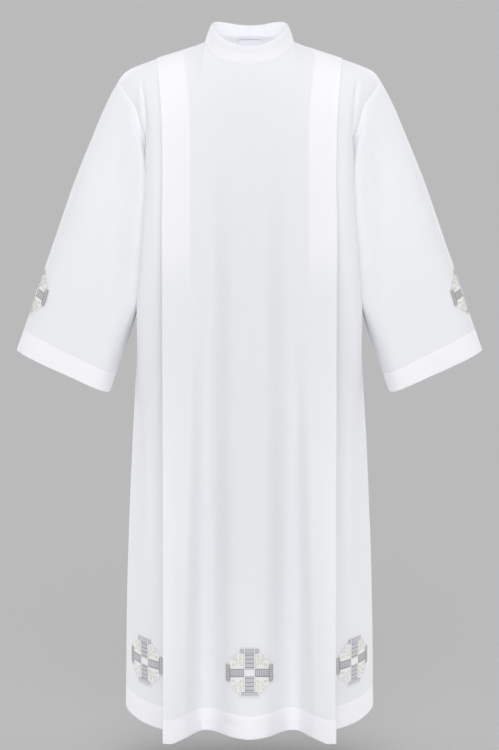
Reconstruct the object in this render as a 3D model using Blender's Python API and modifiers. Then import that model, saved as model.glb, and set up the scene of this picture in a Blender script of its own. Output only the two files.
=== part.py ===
"""An alb: a long white robe with wide sleeves, a standing collar and embroidered crosses.

Metres, +Z up. The origin is the middle of the neck base, where the wearer holds the robe up.
The front faces -Y, and +X is the wearer's left. The left half is the right half mirrored.
Each panel is a grid of points on its outer side, and its wall grows inwards from them.
"""

import math

import bpy
import numpy as np

WALL = 0.001  # one layer of cloth
TURNED_WALL = 0.0021  # hem and cuff, where the edge is turned up inside
COLLAR_WALL = 0.002  # the collar band is doubled
SEAM_GAP = 0.0004  # between two pieces sewn edge to edge
MITRE_LIMIT = 1.6  # longest corner of a wall, in wall thicknesses

HEM_TURN_UP = 0.046
CUFF_TURN_UP = 0.042
TURN_UP_STEP = 0.002  # over which the wall goes from one layer to two

SHOULDER_NECK = (0.0846, 0.0, 0.003)  # where shoulder seam, neckline and collar meet
FRONT_NECK = (0.0, -0.063, -0.035)
BACK_NECK = (0.0, 0.058, 0.012)
FRONT_DIP, BACK_RISE = 1.35, 1.3  # powers that shape the neckline's height
YOKE_HEIGHT = -0.15  # the rounded shoulder ends here, and the hanging panel begins
HEM_HEIGHT = -1.33

# Shoulder seam, from the neck to the shoulder point.
SHOULDER_SEAM = {
    "x": (0.0846, 0.1130, 0.1610, 0.2050, 0.2245, 0.2380, 0.2457, 0.2517),
    "z": (0.0030, -0.0090, -0.0245, -0.0397, -0.0473, -0.0550, -0.0626, -0.0715),
}

# Armhole seam of the front panel, from the shoulder point to the underarm. The back's is its mirror in Y.
ARMHOLE = {
    "share": (0.00, 0.14, 0.26, 0.36, 0.52, 0.70, 0.86, 0.95, 1.00),
    "x": (0.2517, 0.2330, 0.2160, 0.2080, 0.1925, 0.1800, 0.1720, 0.1702, 0.1700),
    "y": (0.0000, -0.0300, -0.0500, -0.0590, -0.0570, -0.0460, -0.0280, -0.0110, 0.0000),
    "z": (-0.0715, -0.0976, -0.1214, -0.1500, -0.1960, -0.2560, -0.3080, -0.3300, -0.3350),
}
ARMHOLE_YOKE = 0.36  # the share of the armhole that lies above the yoke height
ARMHOLE_REACH = 0.4  # the share of a panel over which the armhole's own curve fades out

# Side seam, from the underarm to the hem.
SIDE_SEAM = {
    "z": (-0.335, -0.380, -0.430, -0.475, -0.520, -0.700, -0.900, -1.100, -1.330),
    "x": (0.1700, 0.1660, 0.1685, 0.1830, 0.2080, 0.2250, 0.2360, 0.2435, 0.2480),
}

# The front panel's cross-section, a row for each height: side seam, soft fold in front of the sleeve,
# the side panel where it goes under the pleat, the pleat's inner fold, its outer fold, and the waves
# of the centre panel. "open" is how far the pleat's underlay stands off the side panel, and "fold_gap"
# is from the top layer's face to the underlay's face at the outer fold.
FRONT = {
    "z": (-0.150, -0.250, -0.335, -0.430, -0.520, -0.700, -0.900, -1.100, -1.330),
    "crease_x": (0.1977, 0.1990, 0.2040, 0.2118, 0.2175, 0.2150, 0.2180, 0.2190, 0.2190),
    "crease_y": (-0.0770, -0.0760, -0.0740, -0.0690, -0.0620, -0.0600, -0.0640, -0.0690, -0.0750),
    "panel_y": (-0.0890, -0.0925, -0.0935, -0.0940, -0.0950, -0.0990, -0.1060, -0.1130, -0.1200),
    "inner_x": (0.1122, 0.1120, 0.1125, 0.1130, 0.1140, 0.1165, 0.1205, 0.1245, 0.1280),
    "inner_y": (-0.0950, -0.0985, -0.0995, -0.1000, -0.1010, -0.1060, -0.1150, -0.1260, -0.1390),
    "open": (0.0009, 0.0010, 0.0014, 0.0030, 0.0050, 0.0090, 0.0130, 0.0170, 0.0200),
    "fold_gap": (0.0026, 0.0026, 0.0026, 0.0027, 0.0028, 0.0032, 0.0038, 0.0044, 0.0050),
    "fold_x": (0.1665, 0.1655, 0.1676, 0.1674, 0.1674, 0.1674, 0.1672, 0.1671, 0.1671),
    "fold_y": (-0.0928, -0.0965, -0.0985, -0.1035, -0.1100, -0.1240, -0.1460, -0.1710, -0.2000),
    "over_y": (-0.0992, -0.1035, -0.1052, -0.1080, -0.1120, -0.1230, -0.1380, -0.1530, -0.1680),
    "valley_x": (0.0850, 0.0850, 0.0850, 0.0855, 0.0860, 0.0865, 0.0870, 0.0876, 0.0876),
    "valley_y": (-0.1010, -0.1060, -0.1075, -0.1085, -0.1095, -0.1125, -0.1160, -0.1200, -0.1240),
    "centre_y": (-0.1025, -0.1085, -0.1110, -0.1150, -0.1200, -0.1310, -0.1440, -0.1570, -0.1730),
}
# Where those stations lie along the side panel and along the centre panel, as shares of each.
SIDE_PANEL_STATIONS = {"side": 0.0, "crease": 0.38, "panel": 0.74, "inner": 1.0}
CENTRE_PANEL_STATIONS = {"fold": 0.0, "over": 0.27, "valley": 0.5, "centre": 1.0}
NECK_SHARE = 0.4  # the share of the centre panel's top edge that is shoulder seam
SHOULDER_CREASE_X = 0.2065  # the same stations on the shoulder seam
SHOULDER_FOLD_X = 0.1785
SHOULDER_INNER_X = 0.1250
LIFT_FADE = 0.026  # over which the top layer comes down past the inner fold
LIFT_START = 0.003

# Height of the front hem at each station.
FRONT_HEM = {
    "side": -1.3130,
    "crease": -1.3230,
    "panel": -1.3290,
    "inner": -1.3290,
    "fold": -1.3295,
    "over": -1.3275,
    "valley": -1.3245,
    "centre": -1.3300,
}

# The back panel's cross-section: side seam, soft fold behind the sleeve, and the waves of the back.
BACK = {
    "z": (-0.150, -0.250, -0.335, -0.430, -0.520, -0.700, -0.900, -1.100, -1.330),
    "crease_x": (0.1990, 0.2000, 0.2040, 0.2100, 0.2150, 0.2160, 0.2200, 0.2230, 0.2260),
    "crease_y": (0.0740, 0.0730, 0.0700, 0.0650, 0.0590, 0.0580, 0.0600, 0.0640, 0.0700),
    "ridge_x": (0.1600, 0.1600, 0.1620, 0.1640, 0.1660, 0.1690, 0.1720, 0.1750, 0.1780),
    "ridge_y": (0.0900, 0.0930, 0.0930, 0.0920, 0.0920, 0.0980, 0.1080, 0.1200, 0.1350),
    "valley_x": (0.1150, 0.1150, 0.1150, 0.1160, 0.1170, 0.1190, 0.1210, 0.1230, 0.1250),
    "valley_y": (0.0960, 0.0990, 0.0985, 0.0970, 0.0960, 0.0975, 0.1010, 0.1060, 0.1120),
    "swell_x": (0.0620, 0.0620, 0.0620, 0.0620, 0.0630, 0.0640, 0.0650, 0.0660, 0.0670),
    "swell_y": (0.1000, 0.1040, 0.1035, 0.1030, 0.1040, 0.1120, 0.1240, 0.1400, 0.1580),
    "centre_y": (0.1010, 0.1045, 0.1030, 0.1005, 0.0990, 0.1020, 0.1080, 0.1150, 0.1230),
}
BACK_STATIONS = {"side": 0.0, "crease": 0.16, "ridge": 0.36, "valley": 0.54, "swell": 0.76, "centre": 1.0}
BACK_NECK_SHARE = 0.56  # the share of the back's top edge that is shoulder seam
BACK_HEM = {
    "side": -1.3130,
    "crease": -1.3210,
    "ridge": -1.3270,
    "valley": -1.3240,
    "swell": -1.3290,
    "centre": -1.3250,
}

# Sleeve: its outer and inner edges seen from the front, and half its thickness from front to back.
SLEEVE = {
    "share": (0.00, 0.04, 0.09, 0.20, 0.34, 0.50, 0.66, 0.83, 1.00),
    "outer_x": (0.2517, 0.2620, 0.2750, 0.3035, 0.3400, 0.3725, 0.4020, 0.4290, 0.4560),
    "outer_z": (-0.0715, -0.0890, -0.1140, -0.1800, -0.2680, -0.3600, -0.4430, -0.5200, -0.5954),
    "inner_x": (0.1700, 0.1806, 0.1856, 0.1910, 0.2010, 0.2150, 0.2335, 0.2540, 0.2736),
    "inner_z": (-0.3350, -0.3380, -0.3530, -0.3860, -0.4290, -0.4830, -0.5440, -0.6120, -0.6768),
    "half_depth": (0.0600, 0.0600, 0.0600, 0.0590, 0.0570, 0.0535, 0.0495, 0.0450, 0.0400),
}
SLEEVE_BLEND = 0.30  # the share over which the armhole's shape turns into the tube's oval
# Soft hollows of the sleeve: angle round it from the outer edge, place and length along it.
SLEEVE_HOLLOWS = {
    "angle": (1.15, -1.25),
    "place": (0.30, 0.34),
    "length": (0.20, 0.18),
    "width": (0.42, 0.45),
    "depth": (0.0070, 0.0060),
}

# Collar band: the rim's half width and half depths, and how its height goes round.
RIM_HALF_WIDTH, RIM_FRONT, RIM_BACK = 0.0728, -0.0525, 0.0505
RIM_SIDE_HEIGHT, RIM_FRONT_HEIGHT, RIM_BACK_HEIGHT = 0.0375, -0.0042, 0.0320
RIM_DIP, RIM_DROP = 1.25, 2.4  # powers that shape the rim's height at the front and the back
COLLAR_BOW = 0.0012  # how far the band bows out between seam and rim

# Embroidered cross, in its own flat measures.
CROSS_REACH = 0.0485
CROSS_BAR = 0.0095  # thickness of the bar across each arm's end
CROSS_BAR_HALF = 0.0175
UPRIGHT_HALF = 0.0093
BEAM_HALF = 0.0077
CROSS_RAISE = 0.0006  # clear of the panel
CROSS_THICKNESS = 0.0008
CROSS_HEIGHT = -1.2000
SIDE_CROSS_SHARE = 0.46  # where the side cross's middle lies along the side panel
SIDE_CROSS_SLOPE = 0.0115  # how much lower it hangs towards the pleat, over the whole side panel
SLEEVE_CROSS_SHARE = 0.7375

# Labels inside the back of the neck: middle, half width, top and bottom.
LABELS = {
    "neck_label": (0.0, 0.0215, 0.0045, -0.0150),
    "care_label": (-0.0025, 0.0145, -0.0170, -0.0920),
}
LABEL_THICKNESS, LABEL_CLEAR, LABEL_CUTS = 0.0006, 0.0028, 4
PLACKET_FROM_X, PLACKET_TO_X, PLACKET_HALF_WIDTH = 0.0960, 0.2010, 0.0105
PLACKET_DEPTH = 0.0032  # below the outside of the shoulder seam
PLACKET_SLOPE = 0.60  # how it falls away on both sides of the seam
PLACKET_THICKNESS = 0.001

# How finely each piece is divided.
YOKE_ROWS = (0.0, 0.13, 0.28, 0.45, 0.63, 0.82, 1.0)
ARMHOLE_ROWS = (0.47, 0.59, 0.71, 0.83, 0.92, 1.0)  # shares of the armhole below the yoke
LOWER_ROWS = 13
SIDE_PANEL_CUTS, UNDERLAY_CUTS, CENTRE_PANEL_CUTS = 7, 2, 10
BACK_CUTS = 13
SLEEVE_ROWS = (0.0, 0.03, 0.075, 0.13, 0.19, 0.26, 0.34, 0.42, 0.50, 0.58, 0.66, 0.73, 0.80, 0.86)
COLLAR_ROWS = 3

COLOURS = {
    "cloth": (0.86, 0.87, 0.90, 1.0),
    "embroidery": (0.42, 0.43, 0.46, 1.0),
    "label": (0.80, 0.81, 0.84, 1.0),
}


# ---------------------------------------------------------------- curves


def through(xs, ys, x):
    """Values at x of a smooth curve through the points, which doesn't swing past them."""
    xs, ys, x = np.asarray(xs, float), np.asarray(ys, float), np.asarray(x, float)
    if xs[0] > xs[-1]:
        xs, ys = xs[::-1], ys[::-1]
    step = np.diff(xs)
    slope = np.diff(ys) / step
    tangent = np.zeros(len(xs))
    same = slope[:-1] * slope[1:] > 0
    weight = (step[1:] + 2 * step[:-1], 2 * step[1:] + step[:-1])
    first = np.where(same, slope[:-1], 1.0)
    second = np.where(same, slope[1:], 1.0)
    tangent[1:-1] = np.where(same, sum(weight) / (weight[0] / second + weight[1] / first), 0.0)
    tangent[0], tangent[-1] = slope[0], slope[-1]
    i = np.clip(np.searchsorted(xs, x) - 1, 0, len(xs) - 2)
    t = np.clip((x - xs[i]) / step[i], 0.0, 1.0)
    return (
        (2 * t**3 - 3 * t**2 + 1) * ys[i]
        + (t**3 - 2 * t**2 + t) * step[i] * tangent[i]
        + (3 * t**2 - 2 * t**3) * ys[i + 1]
        + (t**3 - t**2) * step[i] * tangent[i + 1]
    )


def mirrored_through(stations, values, share, odd_start=False, odd_end=False):
    """Like through, with the curve carried on past both ends as its own mirror image."""
    xs, ys = np.asarray(stations, float), np.asarray(values, float)
    start = 2 * ys[0] - ys[1] if odd_start else ys[1]
    end = 2 * ys[-1] - ys[-2] if odd_end else ys[-2]
    xs = np.concatenate([[2 * xs[0] - xs[1]], xs, [2 * xs[-1] - xs[-2]]])
    return through(xs, np.concatenate([[start], ys, [end]]), share)


def smooth_step(value):
    value = np.clip(value, 0.0, 1.0)
    return value * value * (3 - 2 * value)


def at_height(table, column, height):
    return float(through(table["z"], table[column], height))


def seam_height(x):
    return through(SHOULDER_SEAM["x"], SHOULDER_SEAM["z"], x)


def armhole_point(share):
    return np.array([float(through(ARMHOLE["share"], ARMHOLE[axis], share)) for axis in "xyz"])


def side_edge(height):
    """(x, y) of the front panel's sewn edge: the armhole, and the side seam below it."""
    if height > ARMHOLE["z"][-1]:
        return tuple(float(through(ARMHOLE["z"], ARMHOLE[axis], height)) for axis in "xy")
    return at_height(SIDE_SEAM, "x", height), 0.0


def neckline(angle, front):
    """A point of the neckline: angle 0 at the shoulder seam, a quarter turn at the middle."""
    middle = FRONT_NECK if front else BACK_NECK
    power = FRONT_DIP if front else BACK_RISE
    rise = (middle[2] - SHOULDER_NECK[2]) * math.sin(angle) ** power
    x = SHOULDER_NECK[0] * math.cos(angle)
    return np.array([x, middle[1] * math.sin(angle), SHOULDER_NECK[2] + rise])


# ---------------------------------------------------------------- front panel


def side_panel(share, height):
    """(x, y) on the front's side panel: 0 at the side seam, 1 at the pleat's inner fold."""
    value = {name: at_height(FRONT, name, height) for name in FRONT if name != "z"}
    side_x, side_y = side_edge(height)
    stations = list(SIDE_PANEL_STATIONS.values())
    xs = (side_x, value["crease_x"], value["fold_x"], value["inner_x"])
    ys = (side_y, value["crease_y"], value["panel_y"], value["inner_y"])
    x = mirrored_through(stations, xs, share, odd_end=True)
    y = mirrored_through(stations, ys, share, odd_start=True, odd_end=True)
    return float(x), float(y)


def centre_panel(share, height):
    """(x, y) on the front's centre panel: 0 at the pleat's outer fold, 1 at the middle."""
    value = {name: at_height(FRONT, name, height) for name in FRONT if name != "z"}
    stations = list(CENTRE_PANEL_STATIONS.values())
    xs = (value["fold_x"], value["inner_x"], value["valley_x"], 0.0)
    ys = (value["fold_y"], value["over_y"], value["valley_y"], value["centre_y"])
    x = mirrored_through(stations, xs, share, odd_start=True, odd_end=True)
    y = mirrored_through(stations, ys, share, odd_start=True)
    return float(x), float(y)


def underlay(share, height):
    """(x, y) on the pleat's underlay: 0 at its inner fold, 1 at its outer fold."""
    inner_x, inner_y = side_panel(1.0, height)
    inner_y -= at_height(FRONT, "open", height)
    fold_x, fold_y = centre_panel(0.0, height)
    fold_y += at_height(FRONT, "fold_gap", height)
    return inner_x + (fold_x - inner_x) * share, inner_y + (fold_y - inner_y) * share


def top_of_side_panel(share):
    stations = list(SIDE_PANEL_STATIONS.values())
    xs = (SHOULDER_SEAM["x"][-1], SHOULDER_CREASE_X, SHOULDER_FOLD_X, SHOULDER_INNER_X)
    x = float(through(stations, xs, share))
    return np.array([x, 0.0, float(seam_height(x))])


def stacked(point, layers_off):
    """A point of the shoulder seam, raised off it by the pleat layers that lie under it."""
    return point + np.array([0.0, -0.5, 0.87]) * layers_off


def top_of_underlay(share):
    x = SHOULDER_INNER_X + (SHOULDER_FOLD_X - SHOULDER_INNER_X) * share
    return stacked(np.array([x, 0.0, float(seam_height(x))]), FRONT["open"][0])


def top_of_centre_panel(share):
    if share > NECK_SHARE:
        angle = math.pi / 2 * (share - NECK_SHARE) / (1 - NECK_SHARE)
        return neckline(angle, front=True)
    x = SHOULDER_FOLD_X + (SHOULDER_NECK[0] - SHOULDER_FOLD_X) * share / NECK_SHARE
    past = (SHOULDER_INNER_X - LIFT_START - x) / LIFT_FADE
    lift = (FRONT["open"][0] + FRONT["fold_gap"][0]) * (1 - smooth_step(past))
    return stacked(np.array([x, 0.0, float(seam_height(x))]), float(lift))


def yoke_point(top, yoke, share):
    """A point on the rounded shoulder: 0 on the seam or neckline, 1 at the yoke height."""
    turn = math.pi / 2 * share
    across = smooth_step(share) * 0.5 + share * 0.5
    forward = 0.25 * share + 0.75 * math.sin(turn)
    down = 0.25 * share + 0.75 * (1 - math.cos(turn))
    move = yoke - top
    return top + move * np.array([across, forward, down])


def lower_heights():
    """Nominal heights of the rows below the underarm, with the two rows of the turned-up hem."""
    start, end = ARMHOLE["z"][-1], HEM_HEIGHT + HEM_TURN_UP + TURN_UP_STEP
    rows = start + (end - start) * (np.arange(1, LOWER_ROWS + 1) / LOWER_ROWS) ** 0.93
    return [float(z) for z in rows] + [HEM_HEIGHT + HEM_TURN_UP, HEM_HEIGHT]


def hem_level(hem, stations, share, height):
    """The true height of a row whose nominal height is given, so that the last one is the hem."""
    level = float(through(list(stations.values()), [hem[name] for name in stations], share))
    down = (height - YOKE_HEIGHT) / (HEM_HEIGHT - YOKE_HEIGHT)
    return YOKE_HEIGHT + (level - YOKE_HEIGHT) * down


def armhole_seam():
    """The front's armhole, a point for each row of a panel that ends on it."""
    shares = [share * ARMHOLE_YOKE for share in YOKE_ROWS] + list(ARMHOLE_ROWS)
    return np.array([armhole_point(share) for share in shares])


def panel_column(top, section, level):
    """A column of points of a panel, from its top edge to its hem."""
    yoke = np.array([*section(YOKE_HEIGHT), YOKE_HEIGHT])
    points = [yoke_point(top, yoke, share) for share in YOKE_ROWS]
    beside_armhole = [float(point[2]) for point in armhole_seam()[len(YOKE_ROWS) :]]
    for height in beside_armhole + lower_heights():
        points.append(np.array([*section(height), level(height)]))
    return np.array(points)


def drawn_to_armhole(half, shares, way):
    """Moves a half panel's first column onto the armhole, and those near it by less and less."""
    seam = armhole_seam() * [1, way, 1]
    fade = 1 - smooth_step(np.asarray(shares) / ARMHOLE_REACH)
    moved = half.copy()
    moved[: len(seam)] += (seam - half[: len(seam), 0])[:, None] * fade[:, None]
    return moved


def front_half():
    """The right half of the front: columns of points from the side seam to the middle."""
    columns = []
    hem = {name: FRONT_HEM[name] for name in SIDE_PANEL_STATIONS}
    side_shares = np.linspace(0.0, 1.0, SIDE_PANEL_CUTS + 1)
    for share in side_shares:
        columns.append(
            panel_column(
                top_of_side_panel(share),
                lambda z, s=share: side_panel(s, z),
                lambda z, s=share: hem_level(hem, SIDE_PANEL_STATIONS, s, z),
            )
        )
    for share in np.linspace(0.0, 1.0, UNDERLAY_CUTS + 1):
        level = (FRONT_HEM["inner"] + FRONT_HEM["fold"]) / 2
        columns.append(
            panel_column(
                top_of_underlay(share),
                lambda z, s=share: underlay(s, z),
                lambda z, s=share: hem_level({"a": level, "b": level}, {"a": 0.0, "b": 1.0}, s, z),
            )
        )
    hem = {name: FRONT_HEM[name] for name in CENTRE_PANEL_STATIONS}
    for share in np.linspace(0.0, 1.0, CENTRE_PANEL_CUTS + 1):
        columns.append(
            panel_column(
                top_of_centre_panel(share),
                lambda z, s=share: centre_panel(s, z),
                lambda z, s=share: hem_level(hem, CENTRE_PANEL_STATIONS, s, z),
            )
        )
    shares = np.ones(len(columns))
    shares[: len(side_shares)] = side_shares
    return drawn_to_armhole(np.stack(columns, axis=1), shares, 1)


# ---------------------------------------------------------------- back panel


def back_panel(share, height):
    """(x, y) on the back: 0 at the side seam, 1 at the middle."""
    value = {name: at_height(BACK, name, height) for name in BACK if name != "z"}
    side_x, side_y = side_edge(height)
    stations = list(BACK_STATIONS.values())
    xs = [side_x] + [value[name + "_x"] for name in ("crease", "ridge", "valley", "swell")] + [0.0]
    ys = [-side_y] + [value[name + "_y"] for name in ("crease", "ridge", "valley", "swell", "centre")]
    x = mirrored_through(stations, xs, share, odd_end=True)
    y = mirrored_through(stations, ys, share, odd_start=True)
    return float(x), float(y)


def top_of_back(share):
    if share > BACK_NECK_SHARE:
        angle = math.pi / 2 * (share - BACK_NECK_SHARE) / (1 - BACK_NECK_SHARE)
        return neckline(angle, front=False)
    start = SHOULDER_SEAM["x"][-1]
    x = start + (SHOULDER_NECK[0] - start) * share / BACK_NECK_SHARE
    return np.array([x, 0.0, float(seam_height(x))])


def back_half():
    """The right half of the back: columns of points from the side seam to the middle."""
    at_seam = round(BACK_CUTS * BACK_NECK_SHARE)
    shares = np.concatenate(
        [
            np.linspace(0.0, BACK_NECK_SHARE, at_seam + 1),
            np.linspace(BACK_NECK_SHARE, 1.0, BACK_CUTS - at_seam + 1)[1:],
        ]
    )
    columns = []
    for share in shares:
        columns.append(
            panel_column(
                top_of_back(share),
                lambda z, s=share: back_panel(s, z),
                lambda z, s=share: hem_level(BACK_HEM, BACK_STATIONS, s, z),
            )
        )
    return drawn_to_armhole(np.stack(columns, axis=1), shares, -1)


# ---------------------------------------------------------------- sleeve and collar


def armhole_loop():
    """The armhole seam, once round: the front from shoulder to underarm, then the back."""
    front = armhole_seam()
    back = (front * [1, -1, 1])[1:-1][::-1]
    return np.concatenate([front, back])


def sleeve_frame(share):
    """Middle, half width as a vector towards the outer edge, and half depth at a share of its length."""
    value = {name: float(through(SLEEVE["share"], SLEEVE[name], share)) for name in SLEEVE}
    outer = np.array([value["outer_x"], 0.0, value["outer_z"]])
    inner = np.array([value["inner_x"], 0.0, value["inner_z"]])
    return (outer + inner) / 2, (outer - inner) / 2, value["half_depth"]


def oval_point(share, angle):
    """A point of the sleeve's oval tube: angle 0 on the outer edge, growing towards the front."""
    middle, half, depth = sleeve_frame(share)
    depth_now = depth
    for row in range(len(SLEEVE_HOLLOWS["angle"])):
        turned = (angle - SLEEVE_HOLLOWS["angle"][row] + math.pi) % (2 * math.pi) - math.pi
        off = (turned / SLEEVE_HOLLOWS["width"][row]) ** 2
        along = ((share - SLEEVE_HOLLOWS["place"][row]) / SLEEVE_HOLLOWS["length"][row]) ** 2
        depth_now -= SLEEVE_HOLLOWS["depth"][row] * math.exp(-off - along)
    return middle + half * math.cos(angle) - np.array([0, depth_now, 0]) * math.sin(angle)


def sleeve_angles():
    """The angle round the tube of each point of the armhole."""
    middle, half, _ = sleeve_frame(0.0)
    loop = armhole_loop()
    towards = (loop - middle) @ half / (half @ half)
    angles = np.arccos(np.clip(towards, -1.0, 1.0))
    return np.where(loop[:, 1] > 1e-9, -angles, angles)


def sleeve_point(share, angle, seam):
    """A point of the sleeve that starts at a point of the armhole seam."""
    fade = 1 - float(smooth_step(share / SLEEVE_BLEND))
    return oval_point(share, angle) + fade * (seam - oval_point(0.0, angle))


def sleeve_rows():
    length = np.linalg.norm(sleeve_frame(1.0)[0] - sleeve_frame(0.9)[0]) / 0.1
    turn_up = CUFF_TURN_UP / length
    return list(SLEEVE_ROWS) + [1 - turn_up - TURN_UP_STEP / length, 1 - turn_up, 1.0]


def sleeve_grid():
    """Rings of points from the armhole to the cuff."""
    loop, angles = armhole_loop(), sleeve_angles()
    rings = []
    for share in sleeve_rows():
        rings.append([sleeve_point(share, a, p) for a, p in zip(angles, loop)])
    return np.array(rings)


def rim_point(angle, front):
    """A point of the collar's rim: angle 0 above the shoulder seam, a quarter turn at the middle."""
    depth, middle = (RIM_FRONT, RIM_FRONT_HEIGHT) if front else (RIM_BACK, RIM_BACK_HEIGHT)
    power = RIM_DIP if front else RIM_DROP
    height = RIM_SIDE_HEIGHT + (middle - RIM_SIDE_HEIGHT) * math.sin(angle) ** power
    return np.array([RIM_HALF_WIDTH * math.cos(angle), depth * math.sin(angle), height])


def collar_grid():
    """Rows of points up the band, each once round from the wearer's left shoulder, front first."""
    front_cuts = round(CENTRE_PANEL_CUTS * (1 - NECK_SHARE))
    back_cuts = BACK_CUTS - round(BACK_CUTS * BACK_NECK_SHARE)
    quarters = [
        (True, 1, np.linspace(0, math.pi / 2, front_cuts + 1)[:-1]),
        (True, -1, np.linspace(math.pi / 2, 0, front_cuts + 1)[:-1]),
        (False, -1, np.linspace(0, math.pi / 2, back_cuts + 1)[:-1]),
        (False, 1, np.linspace(math.pi / 2, 0, back_cuts + 1)),
    ]
    columns = []
    for front, side, angles in quarters:
        for angle in angles:
            low, high = neckline(angle, front), rim_point(angle, front)
            low[2] += SEAM_GAP
            out = np.array([math.cos(angle), -math.sin(angle) if front else math.sin(angle), 0])
            column = []
            for share in np.linspace(0, 1, COLLAR_ROWS + 1):
                bow = COLLAR_BOW * math.sin(math.pi * share)
                column.append((low + (high - low) * share + out * bow) * [side, 1, 1])
            columns.append(column)
    return np.array(columns).transpose(1, 0, 2)


# ---------------------------------------------------------------- walls


def whole_panel(half):
    """A half panel with its mirror image: columns from the wearer's right side to the left."""
    return np.concatenate([half * [-1, 1, 1], half[:, -2::-1]], axis=1)


def quad_normals(grid, ring):
    if ring:
        grid = np.concatenate([grid, grid[:, :1]], axis=1)
    across = (grid[1:, 1:] - grid[:-1, :-1], grid[:-1, 1:] - grid[1:, :-1])
    normal = np.cross(*across)
    return normal / np.linalg.norm(normal, axis=2, keepdims=True)


def point_normals(grid, outward, ring=False):
    """The way out at each point, lengthened at corners so that the wall keeps its thickness."""
    faces = quad_normals(grid, ring) * outward
    rows, columns = grid.shape[:2]
    total = np.zeros(grid.shape)
    for down in (0, 1):
        for right in (0, 1):
            target = (np.arange(faces.shape[1]) + right) % columns
            np.add.at(total, (slice(down, rows - 1 + down), target), faces)
    way = total / np.linalg.norm(total, axis=2, keepdims=True)
    least = np.ones(grid.shape[:2])
    for down in (0, 1):
        for right in (0, 1):
            target = (np.arange(faces.shape[1]) + right) % columns
            near = (way[down : rows - 1 + down, target] * faces).sum(axis=2)
            here = least[down : rows - 1 + down, target]
            least[down : rows - 1 + down, target] = np.minimum(here, near)
    return way / np.maximum(least, 1 / MITRE_LIMIT)[..., None]


def on_seam_plane(normals, grid):
    """Walls that meet at a seam in the Y = 0 plane end square to it."""
    flat = np.abs(grid[..., 1]) < 1e-6
    normals[flat, 1] = 0.0
    return normals


def eased_back(grid, edge, inside, amount):
    """Moves an edge of a grid towards the points inside it by half of the seam's gap."""
    move = inside - edge
    return edge + move / np.linalg.norm(move, axis=-1, keepdims=True) * amount


def shell_mesh(name, outer, inner, outward, ring=False):
    """A closed wall between two grids of points, with its edges closed by faces."""
    rows, columns = outer.shape[:2]
    count = rows * columns
    wrap = columns if ring else columns - 1
    faces = []
    for r in range(rows - 1):
        for c in range(wrap):
            a, b = r * columns + c, r * columns + (c + 1) % columns
            outside = (a, b, b + columns, a + columns)
            inside = (count + a, count + a + columns, count + b + columns, count + b)
            turn = 0 if ring or c < wrap / 2 else 1  # a panel's two halves are split as mirror images
            faces.append(outside[turn:] + outside[:turn])
            faces.append(inside[turn:] + inside[:turn])
    for c in range(wrap):
        a, b = c, (c + 1) % columns
        faces.append((a, count + a, count + b, b))
        low_a, low_b = a + count - columns, b + count - columns
        faces.append((low_a, low_b, count + low_b, count + low_a))
    if not ring:
        for r in range(rows - 1):
            a, b = r * columns, (r + 1) * columns
            faces.append((a, b, count + b, count + a))
            end_a, end_b = a + columns - 1, b + columns - 1
            faces.append((end_a, count + end_a, count + end_b, end_b))
    if outward > 0:
        faces = [face[::-1] for face in faces]
    mesh = bpy.data.meshes.new(name)
    points = np.concatenate([outer.reshape(-1, 3), inner.reshape(-1, 3)])
    mesh.from_pydata([tuple(p) for p in points], [], faces)
    mesh.validate()
    return mesh


# ---------------------------------------------------------------- crosses


def cross_cells():
    """The flat cross as a grid of cells: their corner lines and which cells are filled."""
    arm = (CROSS_REACH - CROSS_BAR + CROSS_BAR_HALF) / 2
    lines_p = [UPRIGHT_HALF, CROSS_BAR_HALF, arm, CROSS_REACH - CROSS_BAR, CROSS_REACH]
    lines_q = [BEAM_HALF] + lines_p[1:]
    ps = np.array([-v for v in lines_p[::-1]] + [0.0] + lines_p)
    qs = np.array([-v for v in lines_q[::-1]] + [0.0] + lines_q)
    p_mid, q_mid = (ps[1:] + ps[:-1]) / 2, (qs[1:] + qs[:-1]) / 2
    p, q = np.meshgrid(np.abs(p_mid), np.abs(q_mid))
    bar = CROSS_REACH - CROSS_BAR
    filled = (p < UPRIGHT_HALF) | (q < BEAM_HALF)
    filled |= (q > bar) & (p < CROSS_BAR_HALF)
    filled |= (p > bar) & (q < CROSS_BAR_HALF)
    return ps, qs, filled


def walk(curve_points, start, distance):
    """The point a signed distance along a line of points from the one at index start."""
    along = np.concatenate([[0], np.cumsum(np.linalg.norm(np.diff(curve_points, axis=0), axis=1))])
    return np.array(
        [np.interp(along[start] + distance, along, curve_points[:, axis]) for axis in range(3)]
    )


def centre_cross_line(q):
    """A level line of the centre panel, q above the cross's middle, and the index of its middle."""
    height = CROSS_HEIGHT + q
    shares = np.linspace(0.3, 1.0, 57)
    right = np.array([centre_panel(s, height) for s in shares])
    whole = np.concatenate([right, (right * [-1, 1])[-2::-1]])[::-1]
    level = hem_level({n: FRONT_HEM[n] for n in CENTRE_PANEL_STATIONS}, CENTRE_PANEL_STATIONS, 1.0, height)
    return np.column_stack([whole, np.full(len(whole), level)]), len(shares) - 1


def side_cross_line(q):
    """A level line of the wearer's left side panel, and the index where the cross's middle is."""
    hem = {name: FRONT_HEM[name] for name in SIDE_PANEL_STATIONS}
    points = []
    for share in np.linspace(0.0, 1.0, 101):
        height = CROSS_HEIGHT + q - SIDE_CROSS_SLOPE * (share - SIDE_CROSS_SHARE)
        level = hem_level(hem, SIDE_PANEL_STATIONS, share, height)
        points.append([*side_panel(share, height), level])
    return np.array(points), round(SIDE_CROSS_SHARE * 100)


def sleeve_cross_line(q):
    """A line round the left sleeve from back to front, and the index of its outer edge."""
    middle, _, _ = sleeve_frame(1.0)
    length = np.linalg.norm(middle - sleeve_frame(0.9)[0]) / 0.1
    share = SLEEVE_CROSS_SHARE - q / length
    angles = np.linspace(-1.6, 1.6, 161)
    return np.array([oval_point(share, angle) for angle in angles]), len(angles) // 2


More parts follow.
